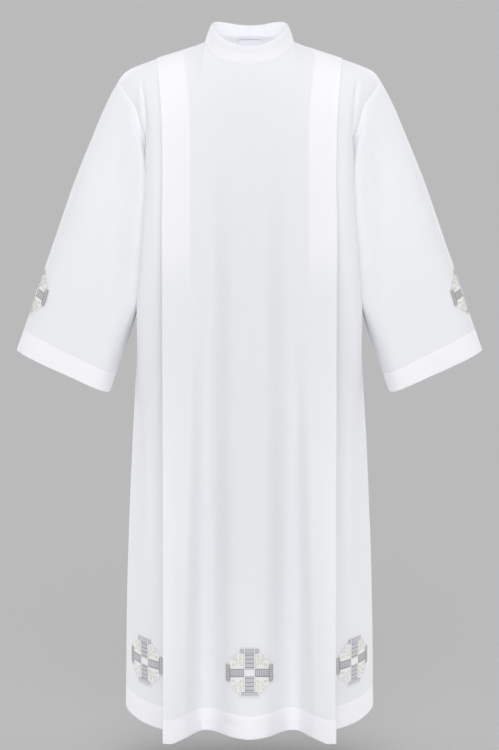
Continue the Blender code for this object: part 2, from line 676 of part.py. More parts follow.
def cross_sheet(name, level_line, outward):
    """The filled cells of a cross laid on a surface, just clear of it."""
    ps, qs, filled = cross_cells()
    points = []
    for q in qs:
        line, start = level_line(q)
        points.append([walk(line, start, p) for p in ps])
    points = np.array(points)
    lifted = points + point_normals(points, outward) * CROSS_RAISE
    index, vertices, faces = {}, [], []
    for r, c in zip(*np.nonzero(filled)):
        corner = [(r, c), (r, c + 1), (r + 1, c + 1), (r + 1, c)]
        for key in corner:
            if key not in index:
                index[key] = len(vertices)
                vertices.append(tuple(lifted[key]))
        face = [index[key] for key in corner]
        faces.append(face[::-1] if outward > 0 else face)
    mesh = bpy.data.meshes.new(name)
    mesh.from_pydata(vertices, [], faces)
    mesh.validate()
    return mesh


# ---------------------------------------------------------------- scene objects


def cleared_scene():
    for obj in list(bpy.data.objects):
        bpy.data.objects.remove(obj)


def material(name, colour, roughness):
    made = bpy.data.materials.new(name)
    made.use_nodes = True
    shader = made.node_tree.nodes["Principled BSDF"]
    shader.inputs["Base Color"].default_value = colour
    shader.inputs["Roughness"].default_value = roughness
    shader.inputs["Metallic"].default_value = 0.0
    made.diffuse_color = colour
    return made


def add(name, mesh, finish, collection):
    obj = bpy.data.objects.new(name, mesh)
    mesh.materials.append(finish)
    collection.objects.link(obj)
    return obj


def mirrored_mesh(mesh, name):
    """The same mesh on the wearer's right side."""
    twin = mesh.copy()
    twin.name = name
    for vertex in twin.vertices:
        vertex.co.x = -vertex.co.x
    twin.flip_normals()
    return twin


def row_walls(rows):
    """Wall thickness of each row: one layer, then two over the turned-up edge."""
    return np.array([WALL] * (rows - 2) + [TURNED_WALL] * 2)


def trimmed_panel(grid):
    """A panel's outer points with its sewn edges eased back from the seams."""
    eased = grid.copy()
    half_gap = SEAM_GAP / 2
    eased[0] = eased_back(grid, grid[0], grid[1], half_gap)
    eased[:, 0] = eased_back(grid, eased[:, 0], eased[:, 1], half_gap)
    eased[:, -1] = eased_back(grid, eased[:, -1], eased[:, -2], half_gap)
    return eased


def make_panel(name, half, outward, sleeve_normals, finish, collection):
    """A front or back panel, whose walls meet the sleeves' walls in a mitre."""
    grid = whole_panel(half)
    normals = on_seam_plane(point_normals(grid, outward), grid)
    seam_rows = len(sleeve_normals)
    for column, sign in ((-1, 1), (0, -1)):
        shared = normals[:seam_rows, column] + sleeve_normals * [sign, 1, 1]
        size = np.linalg.norm(shared, axis=1, keepdims=True)
        normals[:seam_rows, column] = shared / size
    walls = row_walls(len(grid))
    inner = grid - normals * walls[:, None, None]
    mesh = shell_mesh(name, trimmed_panel(grid), trimmed_panel(inner), outward)
    add(name, mesh, finish, collection)
    return normals


def make_sleeves(panel_normals, grid, normals, finish, collection):
    """Both sleeves, each a tube that starts at its armhole seam."""
    normals[0] = panel_normals
    walls = row_walls(len(grid))
    inner = grid - normals * walls[:, None, None]
    outer = grid.copy()
    outer[0] = eased_back(grid, grid[0], grid[1], SEAM_GAP / 2)
    inner[0] = eased_back(inner, inner[0], inner[1], SEAM_GAP / 2)
    mesh = shell_mesh("sleeve_left", outer, inner, -1.0, ring=True)
    twin = mirrored_mesh(mesh, "sleeve_right")
    add("sleeve_left", mesh, finish, collection)
    add("sleeve_right", twin, finish, collection)


def make_collar(finish, collection):
    grid = collar_grid()
    normals = point_normals(grid, 1.0)
    grid[:, 0, 1] -= SEAM_GAP / 2
    grid[:, -1, 1] += SEAM_GAP / 2
    normals[:, (0, -1), 1] = 0.0
    inner = grid - normals * COLLAR_WALL
    add("collar", shell_mesh("collar", grid, inner, 1.0), finish, collection)


def make_crosses(finish, collection):
    left = {
        "cross_hem_centre": (centre_cross_line, -1.0),
        "cross_hem_left": (side_cross_line, 1.0),
        "cross_sleeve_left": (sleeve_cross_line, 1.0),
    }
    for name, (level_line, outward) in left.items():
        mesh = cross_sheet(name, level_line, outward)
        twins = [(name, mesh)]
        if name.endswith("left"):
            twin = name.replace("left", "right")
            twins.append((twin, mirrored_mesh(mesh, twin)))
        for made, its_mesh in twins:
            obj = add(made, its_mesh, finish, collection)
            thick = obj.modifiers.new("thread", "SOLIDIFY")
            thick.thickness = CROSS_THICKNESS
            thick.offset = 1.0


def inside_back(x, height):
    """How far back the inside of the back panel is, near the middle of the neck."""
    yoke = np.array([*back_panel(1.0, YOKE_HEIGHT), YOKE_HEIGHT])
    column = [yoke_point(np.array(BACK_NECK), yoke, share) for share in np.linspace(0, 1, 40)]
    heights = [point[2] for point in column]
    depths = [point[1] for point in column]
    bend = BACK_NECK[1] * (1 - math.sqrt(1 - (x / SHOULDER_NECK[0]) ** 2))
    return float(np.interp(-height, [-h for h in heights], depths)) - WALL - bend


def make_labels(finish, collection):
    """Two small woven labels that hang inside the back of the neck, one under the other."""
    for name, (middle, half_width, top, bottom) in LABELS.items():
        rows = []
        for height in np.linspace(top, bottom, LABEL_CUTS + 1):
            row = []
            for x in np.linspace(middle - half_width, middle + half_width, LABEL_CUTS + 1):
                row.append([x, inside_back(x, height) - LABEL_CLEAR - LABEL_THICKNESS, height])
            rows.append(row)
        face = np.array(rows)
        mesh = shell_mesh(name, face, face + [0, LABEL_THICKNESS, 0], 1.0)
        add(name, mesh, finish, collection)


def make_placket(finish, collection):
    """The underlap behind the wearer's left shoulder seam, which opens for the head."""
    rows = []
    for y in (PLACKET_HALF_WIDTH, 0.0, -PLACKET_HALF_WIDTH):
        row = []
        for x in np.linspace(PLACKET_FROM_X, PLACKET_TO_X, 7):
            drop = PLACKET_DEPTH + PLACKET_SLOPE * abs(y)
            row.append([x, y, float(seam_height(x)) - drop])
        rows.append(row)
    outer = np.array(rows)
    inner = outer - np.array([0, 0, PLACKET_THICKNESS])
    mesh = shell_mesh("shoulder_placket", outer, inner, 1.0)
    add("shoulder_placket", mesh, finish, collection)


def main():
    cleared_scene()
    collection = bpy.data.collections.new("alb")
    bpy.context.scene.collection.children.link(collection)
    cloth = material("white_cloth", COLOURS["cloth"], 0.8)
    thread = material("silver_embroidery", COLOURS["embroidery"], 0.45)
    woven = material("woven_label", COLOURS["label"], 0.6)

    sleeve = sleeve_grid()
    around_sleeve = point_normals(sleeve, -1.0, ring=True)
    seam_rows = len(YOKE_ROWS) + len(ARMHOLE_ROWS)
    at_front = around_sleeve[0, :seam_rows]
    at_back = np.concatenate([around_sleeve[0, :1], around_sleeve[0, : seam_rows - 2 : -1]])
    front = make_panel("front", front_half(), 1.0, at_front, cloth, collection)
    back = make_panel("back", back_half(), -1.0, at_back, cloth, collection)
    front_edge, back_edge = front[:seam_rows, -1], back[:seam_rows, -1]
    panel_side = np.concatenate([front_edge, back_edge[1:-1][::-1]])
    make_sleeves(panel_side, sleeve, around_sleeve, cloth, collection)
    make_collar(cloth, collection)
    make_crosses(thread, collection)
    make_labels(woven, collection)
    make_placket(cloth, collection)


main()
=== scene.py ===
# %% [markdown]
# # A white alb, from its cut pieces to its thread
#
# An alb is the long white robe worn at the altar. This one hangs as if it were worn, with nobody
# in it, so it keeps the hollow form that a wearer gives it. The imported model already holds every
# piece as a stiff wall. This lesson puts real cloth over those walls: finer folds, turned-up
# edges, seams, two labels and the embroidery, stitch by stitch.
#
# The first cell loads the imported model. Everything else is built around it, in metres, +Z up.

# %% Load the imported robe
import math

import bpy
import numpy as np
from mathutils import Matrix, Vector
from mathutils.bvhtree import BVHTree


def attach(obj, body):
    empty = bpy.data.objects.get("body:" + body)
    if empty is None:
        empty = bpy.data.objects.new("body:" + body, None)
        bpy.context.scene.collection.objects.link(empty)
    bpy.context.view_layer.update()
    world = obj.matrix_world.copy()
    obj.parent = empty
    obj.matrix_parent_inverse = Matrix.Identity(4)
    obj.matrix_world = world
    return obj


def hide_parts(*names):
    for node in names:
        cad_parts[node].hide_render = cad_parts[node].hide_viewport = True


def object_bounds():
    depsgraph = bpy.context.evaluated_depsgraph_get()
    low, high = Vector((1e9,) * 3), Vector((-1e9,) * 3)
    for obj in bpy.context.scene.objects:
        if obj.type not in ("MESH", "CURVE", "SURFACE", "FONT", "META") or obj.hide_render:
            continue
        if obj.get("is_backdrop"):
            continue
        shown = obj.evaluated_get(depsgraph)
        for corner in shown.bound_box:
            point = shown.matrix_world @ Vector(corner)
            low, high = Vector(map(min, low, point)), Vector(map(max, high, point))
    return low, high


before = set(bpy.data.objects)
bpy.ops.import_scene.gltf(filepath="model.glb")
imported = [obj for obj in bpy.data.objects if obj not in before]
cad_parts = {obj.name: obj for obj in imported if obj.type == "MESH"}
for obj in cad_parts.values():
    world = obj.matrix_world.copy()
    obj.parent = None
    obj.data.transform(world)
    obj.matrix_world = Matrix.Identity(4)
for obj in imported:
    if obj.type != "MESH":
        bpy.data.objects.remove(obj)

cad_box = [list(corner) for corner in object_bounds()]
print("nodes of the packed robe:", ", ".join(sorted(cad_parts)))
print("their box, in metres:", [[round(v, 4) for v in corner] for corner in cad_box])

# %% [markdown]
# ## The cut, as short tables
#
# A tailor doesn't keep a robe as a cloud of points but as a few measures at a few heights. The
# same can be done here. Each table has one column for each measure, and a row for each height or
# each place along a seam. A smooth curve goes through every column, so that a table of nine rows
# can give a mesh of any fineness. The other way would be to sculpt, which looks freer but is hard
# to keep the same left and right. All measures are in metres from the point between the
# shoulders: x to the wearer's left, y to the back, z up.

# %% Neck, yoke and hem
SHOULDER_NECK = (0.0846, 0.0, 0.003)  # where shoulder seam, neckline and collar meet
FRONT_NECK = (0.0, -0.063, -0.035)
BACK_NECK = (0.0, 0.058, 0.012)
FRONT_DIP, BACK_RISE = 1.35, 1.3  # powers that shape the neckline's height
YOKE_HEIGHT = -0.15  # the rounded shoulder ends here, and the hanging panel begins
HEM_HEIGHT = -1.33
HEM_TURN_UP = 0.046
ROLL = 0.00105  # half of what an edge measures across, once it is turned over
print(f"from neck to hem: {(SHOULDER_NECK[2] - HEM_HEIGHT) * 1000:.0f} mm")

# %% The seams
SHOULDER_SEAM = {
    "x": (0.0846, 0.1130, 0.1610, 0.2050, 0.2245, 0.2380, 0.2457, 0.2517),
    "z": (0.0030, -0.0090, -0.0245, -0.0397, -0.0473, -0.0550, -0.0626, -0.0715),
}
ARMHOLE = {
    "share": (0.00, 0.14, 0.26, 0.36, 0.52, 0.70, 0.86, 0.95, 1.00),
    "x": (0.2517, 0.2330, 0.2160, 0.2080, 0.1925, 0.1800, 0.1720, 0.1702, 0.1700),
    "y": (0.0000, -0.0300, -0.0500, -0.0590, -0.0570, -0.0460, -0.0280, -0.0110, 0.0000),
    "z": (-0.0715, -0.0976, -0.1214, -0.1500, -0.1960, -0.2560, -0.3080, -0.3300, -0.3350),
}
SIDE_SEAM = {
    "z": (-0.335, -0.380, -0.430, -0.475, -0.520, -0.700, -0.900, -1.100, -1.330),
    "x": (0.1700, 0.1660, 0.1685, 0.1830, 0.2080, 0.2250, 0.2360, 0.2435, 0.2480),
}
shoulder_x, hem_x = SHOULDER_SEAM["x"][-1], SIDE_SEAM["x"][-1]
print(f"the robe is {2000 * shoulder_x:.0f} mm wide at the shoulders and {2000 * hem_x:.0f} mm at the hem")

# %% [markdown]
# ## Curves through the tables
#
# `through` is the one curve used for everything. It passes every value of a column and never
# swings past one, which plain cubic curves do and which would put bumps in the cloth. A panel is
# mirrored at its middle, so `mirrored_through` carries the curve on past its ends as a mirror
# image, and the cloth crosses the middle without a kink.


# %% A smooth curve through a column
def through(xs, ys, x):
    """Values at x of a smooth curve through the points, which doesn't swing past them."""
    xs, ys, x = np.asarray(xs, float), np.asarray(ys, float), np.asarray(x, float)
    if xs[0] > xs[-1]:
        xs, ys = xs[::-1], ys[::-1]
    step = np.diff(xs)
    slope = np.diff(ys) / step
    tangent = np.zeros(len(xs))
    same = slope[:-1] * slope[1:] > 0
    weight = (step[1:] + 2 * step[:-1], 2 * step[1:] + step[:-1])
    first = np.where(same, slope[:-1], 1.0)
    second = np.where(same, slope[1:], 1.0)
    tangent[1:-1] = np.where(same, sum(weight) / (weight[0] / second + weight[1] / first), 0.0)
    tangent[0], tangent[-1] = slope[0], slope[-1]
    i = np.clip(np.searchsorted(xs, x) - 1, 0, len(xs) - 2)
    t = np.clip((x - xs[i]) / step[i], 0.0, 1.0)
    return (
        (2 * t**3 - 3 * t**2 + 1) * ys[i]
        + (t**3 - 2 * t**2 + t) * step[i] * tangent[i]
        + (3 * t**2 - 2 * t**3) * ys[i + 1]
        + (t**3 - t**2) * step[i] * tangent[i + 1]
    )


def mirrored_through(stations, values, share, odd_start=False, odd_end=False):
    """Like through, with the curve carried on past both ends as its own mirror image."""
    xs, ys = np.asarray(stations, float), np.asarray(values, float)
    start = 2 * ys[0] - ys[1] if odd_start else ys[1]
    end = 2 * ys[-1] - ys[-2] if odd_end else ys[-2]
    xs = np.concatenate([[2 * xs[0] - xs[1]], xs, [2 * xs[-1] - xs[-2]]])
    return through(xs, np.concatenate([[start], ys, [end]]), share)


def smooth_step(value):
    """0 up to value 0, 1 from value 1 on, and a soft slope between them."""
    value = np.clip(value, 0.0, 1.0)
    return value * value * (3 - 2 * value)


def unit(vectors):
    """The same directions, each 1 long."""
    return vectors / np.linalg.norm(vectors, axis=-1, keepdims=True)


def walked_along(line):
    """How far along a line each of its points is."""
    return np.concatenate([[0], np.cumsum(np.linalg.norm(np.diff(line, axis=0), axis=1))])


def read_off(line, along, stops):
    """The points of a line at some distances along it."""
    return np.stack([np.interp(stops, along, column) for column in line.T], axis=-1)


waist_x = float(through(SIDE_SEAM["z"], SIDE_SEAM["x"], -0.4))
print(f"at the waist the side seam is {waist_x * 1000:.0f} mm from the middle")


# %% Seams as functions
def seam_height(x):
    return through(SHOULDER_SEAM["x"], SHOULDER_SEAM["z"], x)


def armhole(shares):
    """Points of the front's armhole seam, from the shoulder point to the underarm."""
    return np.stack([through(ARMHOLE["share"], ARMHOLE[axis], shares) for axis in "xyz"], axis=-1)


def side_edge(height):
    """(x, y) of the front panel's sewn edge: the armhole, and the side seam below it."""
    if height > ARMHOLE["z"][-1]:
        return tuple(float(through(ARMHOLE["z"], ARMHOLE[axis], height)) for axis in "xy")
    return float(through(SIDE_SEAM["z"], SIDE_SEAM["x"], height)), 0.0


def neckline(angle, front):
    """Points of the neckline: angle 0 at the shoulder seam, a quarter turn at the middle."""
    middle = FRONT_NECK if front else BACK_NECK
    power = FRONT_DIP if front else BACK_RISE
    rise = (middle[2] - SHOULDER_NECK[2]) * np.abs(np.sin(angle)) ** power
    x, y = SHOULDER_NECK[0] * np.cos(angle), middle[1] * np.sin(angle)
    return np.stack([x, y, SHOULDER_NECK[2] + rise], axis=-1)


yoke_length = np.linalg.norm(np.diff(armhole(np.linspace(0, 1, 200)), axis=0), axis=1).sum()
print(f"half an armhole measures {yoke_length * 1000:.0f} mm")


# %% [markdown]
# ## Rows and columns of a panel
#
# Each panel is a grid of points, like the warp and weft that it is woven from: columns run from
# the shoulder to the hem, rows run across. Rows over the yoke bend over the shoulder. Rows beside
# the armhole end on its seam. Rows below it end on the side seam. Front, back and sleeves share
# the same places along the armhole, so their edges meet point for point.

# %% Where the rows lie
ARMHOLE_YOKE = 0.36  # the share of the armhole that lies above the yoke height
YOKE_SHARES = np.concatenate([[0.0, 0.012, 0.03], np.linspace(0.06, 1.0, 25)])
ARMHOLE_SHARES = np.linspace(ARMHOLE_YOKE, 1.0, 27)[1:]
SEAM_SHARES = np.concatenate([YOKE_SHARES * ARMHOLE_YOKE, ARMHOLE_SHARES])
HANG_ROWS, HEM_ROWS, ROLL_ROWS = 94, 9, 5
# From the row that is stitched to the rows of points beside it, and to the second one above it.
ROW_APART, ROWS_APART = 0.0010, 0.0022
band_top = HEM_HEIGHT + HEM_TURN_UP
HANG_HEIGHTS = np.concatenate([
    np.linspace(ARMHOLE["z"][-1], band_top + ROWS_APART, HANG_ROWS - 1)[1:],
    [band_top + ROW_APART, band_top],
    np.linspace(band_top - ROW_APART, HEM_HEIGHT + ROLL, HEM_ROWS),
])
SECTION_HEIGHTS = np.concatenate([armhole(ARMHOLE_SHARES)[:, 2], HANG_HEIGHTS])
print(f"{len(YOKE_SHARES)} rows over the shoulder, {len(SECTION_HEIGHTS)} rows below")

# %% From a section to a strip of cloth
ARMHOLE_REACH = 0.4  # the share of a panel over which the armhole's own curve fades out
YOKE_STRAIGHT = 0.25  # how much of the bend over the shoulder is a straight slope


def row_values(table, height):
    """Every measure of a table at one height."""
    return {name: float(through(table["z"], table[name], height)) for name in table if name != "z"}


def hem_level(hem, stations, shares, height):
    """True heights of a row whose nominal height is given, so that the last one is the hem."""
    level = through(list(stations.values()), [hem[name] for name in stations], shares)
    return YOKE_HEIGHT + (level - YOKE_HEIGHT) * (height - YOKE_HEIGHT) / (HEM_HEIGHT - YOKE_HEIGHT)


def over_shoulder(top, yoke):
    """Rows that bend from the shoulder seam or neckline, out and down to the yoke height."""
    s = YOKE_SHARES[:, None]
    turn = math.pi / 2 * s
    across = (smooth_step(s) + s) / 2
    forward = YOKE_STRAIGHT * s + (1 - YOKE_STRAIGHT) * np.sin(turn)
    down = YOKE_STRAIGHT * s + (1 - YOKE_STRAIGHT) * (1 - np.cos(turn))
    way = np.stack([across, forward, down], axis=-1)
    return top[None] + (yoke - top)[None] * way


def strip(top, section, level):
    """A grid of points from a top edge to the hem: section gives (x, y) and level gives z."""
    across = top.shape[0]
    yoke = np.column_stack([section(YOKE_HEIGHT), np.full(across, YOKE_HEIGHT)])
    rows = [np.column_stack([section(z), level(z)]) for z in SECTION_HEIGHTS]
    return np.concatenate([over_shoulder(top, yoke), np.array(rows)])


def drawn_to_armhole(grid, shares, way):
    """Moves a panel's first column onto the armhole, and those near it by less and less."""
    seam = armhole(SEAM_SHARES) * [1, way, 1]
    fade = 1 - smooth_step(shares / ARMHOLE_REACH)
    grid[: len(seam)] += (seam - grid[: len(seam), 0])[:, None] * fade[:, None]
    return grid


print(f"a strip has {len(YOKE_SHARES) + len(SECTION_HEIGHTS)} rows from top to hem")


# %% [markdown]
# ## The front, with its two deep pleats
#
# The front is one width of cloth. On each side it folds back under itself, from the shoulder seam
# down, and lies open towards the hem. So the cloth has three strips on each side, and two bends
# join them. It could be three separate sheets laid over each other, but then no edge would ever
# look folded. Here each bend is a half circle of real points, as thin as pressed cloth at the
# shoulder and wide at the hem.

# %% The front, a row for each height
FRONT = {
    "z": (-0.150, -0.250, -0.335, -0.430, -0.520, -0.700, -0.900, -1.100, -1.330),
    "crease_x": (0.1977, 0.1990, 0.2040, 0.2118, 0.2175, 0.2150, 0.2180, 0.2190, 0.2190),
    "crease_y": (-0.0715, -0.0730, -0.0732, -0.0690, -0.0620, -0.0600, -0.0640, -0.0690, -0.0750),
    "panel_y": (-0.0890, -0.0925, -0.0935, -0.0940, -0.0950, -0.0990, -0.1060, -0.1130, -0.1200),
    "inner_x": (0.1122, 0.1120, 0.1125, 0.1130, 0.1140, 0.1165, 0.1205, 0.1245, 0.1280),
    "inner_y": (-0.0950, -0.0985, -0.0995, -0.1000, -0.1010, -0.1060, -0.1150, -0.1260, -0.1390),
    "open": (0.0005, 0.0008, 0.0014, 0.0030, 0.0050, 0.0090, 0.0130, 0.0170, 0.0200),
    "fold_gap": (0.0018, 0.0022, 0.0026, 0.0027, 0.0028, 0.0032, 0.0038, 0.0044, 0.0050),
    "fold_x": (0.1665, 0.1655, 0.1676, 0.1674, 0.1674, 0.1674, 0.1672, 0.1671, 0.1671),
    "fold_y": (-0.0928, -0.0965, -0.0985, -0.1035, -0.1100, -0.1240, -0.1460, -0.1710, -0.2000),
    "over_y": (-0.0992, -0.1035, -0.1052, -0.1080, -0.1120, -0.1230, -0.1380, -0.1530, -0.1680),
    "valley_x": (0.0850, 0.0850, 0.0850, 0.0855, 0.0860, 0.0865, 0.0870, 0.0876, 0.0876),
    "valley_y": (-0.1010, -0.1060, -0.1075, -0.1085, -0.1095, -0.1125, -0.1160, -0.1200, -0.1240),
    "centre_y": (-0.1025, -0.1085, -0.1110, -0.1150, -0.1200, -0.1310, -0.1440, -0.1570, -0.1730),
}
SIDE_PANEL_STATIONS = {"side": 0.0, "crease": 0.38, "panel": 0.74, "inner": 1.0}
CENTRE_PANEL_STATIONS = {"fold": 0.0, "over": 0.27, "valley": 0.5, "centre": 1.0}
CENTRE_HEM_STATIONS = {"fold": 0.0, "turn": 0.13, "over": 0.27, "valley": 0.5, "centre": 1.0}
NECK_SHARE = 0.4  # the share of the centre strip's top that lies on the shoulder seam
SHOULDER_CREASE_X, SHOULDER_FOLD_X, SHOULDER_INNER_X = 0.2065, 0.1785, 0.1250
LIFT_START, LIFT_FADE = 0.003, 0.026  # where past the pleat its top sinks to the seam, and how slowly
FRONT_HEM = {
    "side": -1.3130, "crease": -1.3230, "panel": -1.3290, "inner": -1.3290,
    "fold": -1.3322, "turn": -1.3368, "over": -1.3335, "valley": -1.3300, "centre": -1.3330,
}
print(f"front: {len(FRONT) - 1} measures at {len(FRONT['z'])} heights")


# %% Three strips of the front
def side_strip(shares, height):
    """(x, y) across a side panel, from its sewn edge to the pleat's inner bend."""
    v = row_values(FRONT, height)
    side_x, side_y = side_edge(height)
    stations = list(SIDE_PANEL_STATIONS.values())
    xs = (side_x, v["crease_x"], v["fold_x"], v["inner_x"])
    ys = (side_y, v["crease_y"], v["panel_y"], v["inner_y"])
    x = mirrored_through(stations, xs, shares, odd_end=True)
    y = mirrored_through(stations, ys, shares, odd_start=True, odd_end=True)
    return np.column_stack([x, y])


def centre_strip(shares, height):
    """(x, y) across half the middle panel, from the pleat's outer fold to the middle."""
    v = row_values(FRONT, height)
    stations = list(CENTRE_PANEL_STATIONS.values())
    xs = (v["fold_x"] - v["fold_gap"] / 2, v["inner_x"], v["valley_x"], 0.0)
    ys = (v["fold_y"], v["over_y"], v["valley_y"], v["centre_y"])
    x = mirrored_through(stations, xs, shares, odd_start=True, odd_end=True)
    y = mirrored_through(stations, ys, shares, odd_start=True)
    return np.column_stack([x, y])


def under_strip(shares, height):
    """(x, y) across the pleat's hidden part, from the inner bend out to the fold."""
    v = row_values(FRONT, height)
    start = side_strip(np.array([1.0]), height)[0] - [0, v["open"]]
    end = centre_strip(np.array([0.0]), height)[0] + [0, v["fold_gap"]]
    return start + (end - start) * shares[:, None]


for title, strip_of in (("side", side_strip), ("under", under_strip), ("centre", centre_strip)):
    steps = np.diff(strip_of(np.linspace(0, 1, 50), HEM_HEIGHT), axis=0)
    print(f"{title} strip: {np.linalg.norm(steps, axis=1).sum() * 1000:.0f} mm wide at the hem")


# %% Their edges on the shoulder seam
LIFT_FORWARD, LIFT_UP = 0.5, 0.87  # which way the layers raise an edge off the seam
FOLD_TOP_X = SHOULDER_FOLD_X - FRONT["fold_gap"][0] / 2


def on_shoulder(x, raised=0.0):
    """Points of the shoulder seam, raised off it by the layers of the pleat that lie under them."""
    lift = np.broadcast_to(raised, x.shape)
    return np.stack([x, -LIFT_FORWARD * lift, seam_height(x) + LIFT_UP * lift], axis=-1)


def top_of_sides(shares):
    stations = list(SIDE_PANEL_STATIONS.values())
    xs = (SHOULDER_SEAM["x"][-1], SHOULDER_CREASE_X, SHOULDER_FOLD_X, SHOULDER_INNER_X)
    return on_shoulder(through(stations, xs, shares))


def top_of_under(shares):
    return on_shoulder(SHOULDER_INNER_X + (FOLD_TOP_X - SHOULDER_INNER_X) * shares, FRONT["open"][0])


def top_of_centre(shares):
    x = FOLD_TOP_X + (SHOULDER_NECK[0] - FOLD_TOP_X) * np.minimum(shares / NECK_SHARE, 1)
    past = (SHOULDER_INNER_X - LIFT_START - x) / LIFT_FADE
    lift = (FRONT["open"][0] + FRONT["fold_gap"][0]) * (1 - smooth_step(past))
    angle = math.pi / 2 * (shares - NECK_SHARE) / (1 - NECK_SHARE)
    return np.where((shares > NECK_SHARE)[:, None], neckline(angle, True), on_shoulder(x, lift))


def bend(start, end, bulge, cuts):
    """Columns of a half circle that joins two columns, and swells out in the way of bulge."""
    t = np.linspace(0, math.pi, cuts + 2)[1:-1][:, None]
    middle, half = (start + end)[:, None] / 2, (start - end)[:, None] / 2
    size = np.linalg.norm(half, axis=-1, keepdims=True)
    return middle + half * np.cos(t) + np.array(bulge) * size * np.sin(t)


print(f"each pleat is {(SHOULDER_FOLD_X - SHOULDER_INNER_X) * 1000:.0f} mm deep at the shoulder seam")


# %% The whole front as one grid
SIDE_CUTS, UNDER_CUTS, CENTRE_CUTS, BEND_CUTS = 44, 9, 74, 7


def front_half():
    """The front's left half, from side seam to middle, and the number of each column's strip."""
    shares = {
        "side": np.concatenate([[0.0, 0.008, 0.018], np.linspace(0.03, 1, SIDE_CUTS - 2)]),
        "under": np.linspace(0, 1, UNDER_CUTS + 1),
        "centre": np.linspace(0, 1, CENTRE_CUTS + 1),
    }
    sides, centre = (
        {name: FRONT_HEM[name] for name in stations}
        for stations in (SIDE_PANEL_STATIONS, CENTRE_HEM_STATIONS)
    )
    under_hem = (FRONT_HEM["inner"] + FRONT_HEM["fold"]) / 2
    flat = {"start": 0.0, "end": 1.0}
    side = strip(
        top_of_sides(shares["side"]),
        lambda z: side_strip(shares["side"], z),
        lambda z: hem_level(sides, SIDE_PANEL_STATIONS, shares["side"], z),
    )
    under = strip(
        top_of_under(shares["under"]),
        lambda z: under_strip(shares["under"], z),
        lambda z: hem_level({"start": under_hem, "end": under_hem}, flat, shares["under"], z),
    )
    middle = strip(
        top_of_centre(shares["centre"]),
        lambda z: centre_strip(shares["centre"], z),
        lambda z: hem_level(centre, CENTRE_HEM_STATIONS, shares["centre"], z),
    )
    side = drawn_to_armhole(side, shares["side"], 1)
    inner_bend = bend(side[:, -1], under[:, 0], (-1, 0, 0), BEND_CUTS)
    outer_bend = bend(under[:, -1], middle[:, 0], (1, 0, 0), BEND_CUTS)
    parts = {"side": side, "inner_bend": inner_bend, "under": under,
             "outer_bend": outer_bend, "centre": middle}
    columns = np.concatenate([np.full(part.shape[1], i) for i, part in enumerate(parts.values())])
    return np.concatenate(list(parts.values()), axis=1), columns


def whole_panel(half):
    """A half panel with its mirror image: columns from the wearer's right side to the left."""
    return np.concatenate([half * [-1, 1, 1], half[:, -2::-1]], axis=1)


half_front, strip_of_column = front_half()
front_grid = whole_panel(half_front)
print(f"front: {front_grid.shape[0]} rows by {front_grid.shape[1]} columns")

# %% [markdown]
# ## The back
#
# The back has no pleats, only five soft folds that grow towards the hem. One strip is enough.

# %% The back, a row for each height
BACK = {
    "z": (-0.150, -0.250, -0.335, -0.430, -0.520, -0.700, -0.900, -1.100, -1.330),
    "crease_x": (0.1990, 0.2000, 0.2040, 0.2100, 0.2150, 0.2160, 0.2200, 0.2230, 0.2260),
    "crease_y": (0.0740, 0.0730, 0.0700, 0.0650, 0.0590, 0.0580, 0.0600, 0.0640, 0.0700),
    "ridge_x": (0.1600, 0.1600, 0.1620, 0.1640, 0.1660, 0.1690, 0.1720, 0.1750, 0.1780),
    "ridge_y": (0.0900, 0.0930, 0.0930, 0.0920, 0.0920, 0.0980, 0.1080, 0.1200, 0.1350),
    "valley_x": (0.1150, 0.1150, 0.1150, 0.1160, 0.1170, 0.1190, 0.1210, 0.1230, 0.1250),
    "valley_y": (0.0960, 0.0990, 0.0985, 0.0970, 0.0960, 0.0975, 0.1010, 0.1060, 0.1120),
    "swell_x": (0.0620, 0.0620, 0.0620, 0.0620, 0.0630, 0.0640, 0.0650, 0.0660, 0.0670),
    "swell_y": (0.1000, 0.1040, 0.1035, 0.1030, 0.1040, 0.1120, 0.1240, 0.1400, 0.1580),
    "centre_y": (0.1010, 0.1045, 0.1030, 0.1005, 0.0990, 0.1020, 0.1080, 0.1150, 0.1230),
}
BACK_STATIONS = {"side": 0.0, "crease": 0.16, "ridge": 0.36, "valley": 0.54, "swell": 0.76, "centre": 1.0}
BACK_NECK_SHARE = 0.56  # as NECK_SHARE, for the back
BACK_HEM = {
    "side": -1.3130, "crease": -1.3210, "ridge": -1.3270,
    "valley": -1.3240, "swell": -1.3290, "centre": -1.3250,
}
print(f"back: {len(BACK) - 1} measures at {len(BACK['z'])} heights")


# %% The whole back as one grid
def back_strip(shares, height):
    """(x, y) across half the back, from its sewn edge to the middle."""
    v = row_values(BACK, height)
    side_x, side_y = side_edge(height)
    names = ("crease", "ridge", "valley", "swell")
    stations = list(BACK_STATIONS.values())
    xs = [side_x] + [v[name + "_x"] for name in names] + [0.0]
    ys = [-side_y] + [v[name + "_y"] for name in names + ("centre",)]
    x = mirrored_through(stations, xs, shares, odd_end=True)
    y = mirrored_through(stations, ys, shares, odd_start=True)
    return np.column_stack([x, y])


def top_of_back(shares):
    start = SHOULDER_SEAM["x"][-1]
    x = start + (SHOULDER_NECK[0] - start) * np.minimum(shares / BACK_NECK_SHARE, 1)
    angle = math.pi / 2 * (shares - BACK_NECK_SHARE) / (1 - BACK_NECK_SHARE)
    neck = neckline(angle, False)
    return np.where((shares > BACK_NECK_SHARE)[:, None], neck, on_shoulder(x))


BACK_CUTS = 62
back_shares = np.concatenate([[0.0, 0.006, 0.013], np.linspace(0.022, 1, BACK_CUTS - 2)])
half_back = strip(
    top_of_back(back_shares),
    lambda z: back_strip(back_shares, z),
    lambda z: hem_level(BACK_HEM, BACK_STATIONS, back_shares, z),
)
back_grid = whole_panel(drawn_to_armhole(half_back, back_shares, -1))
print(f"back: {back_grid.shape[0]} rows by {back_grid.shape[1]} columns")

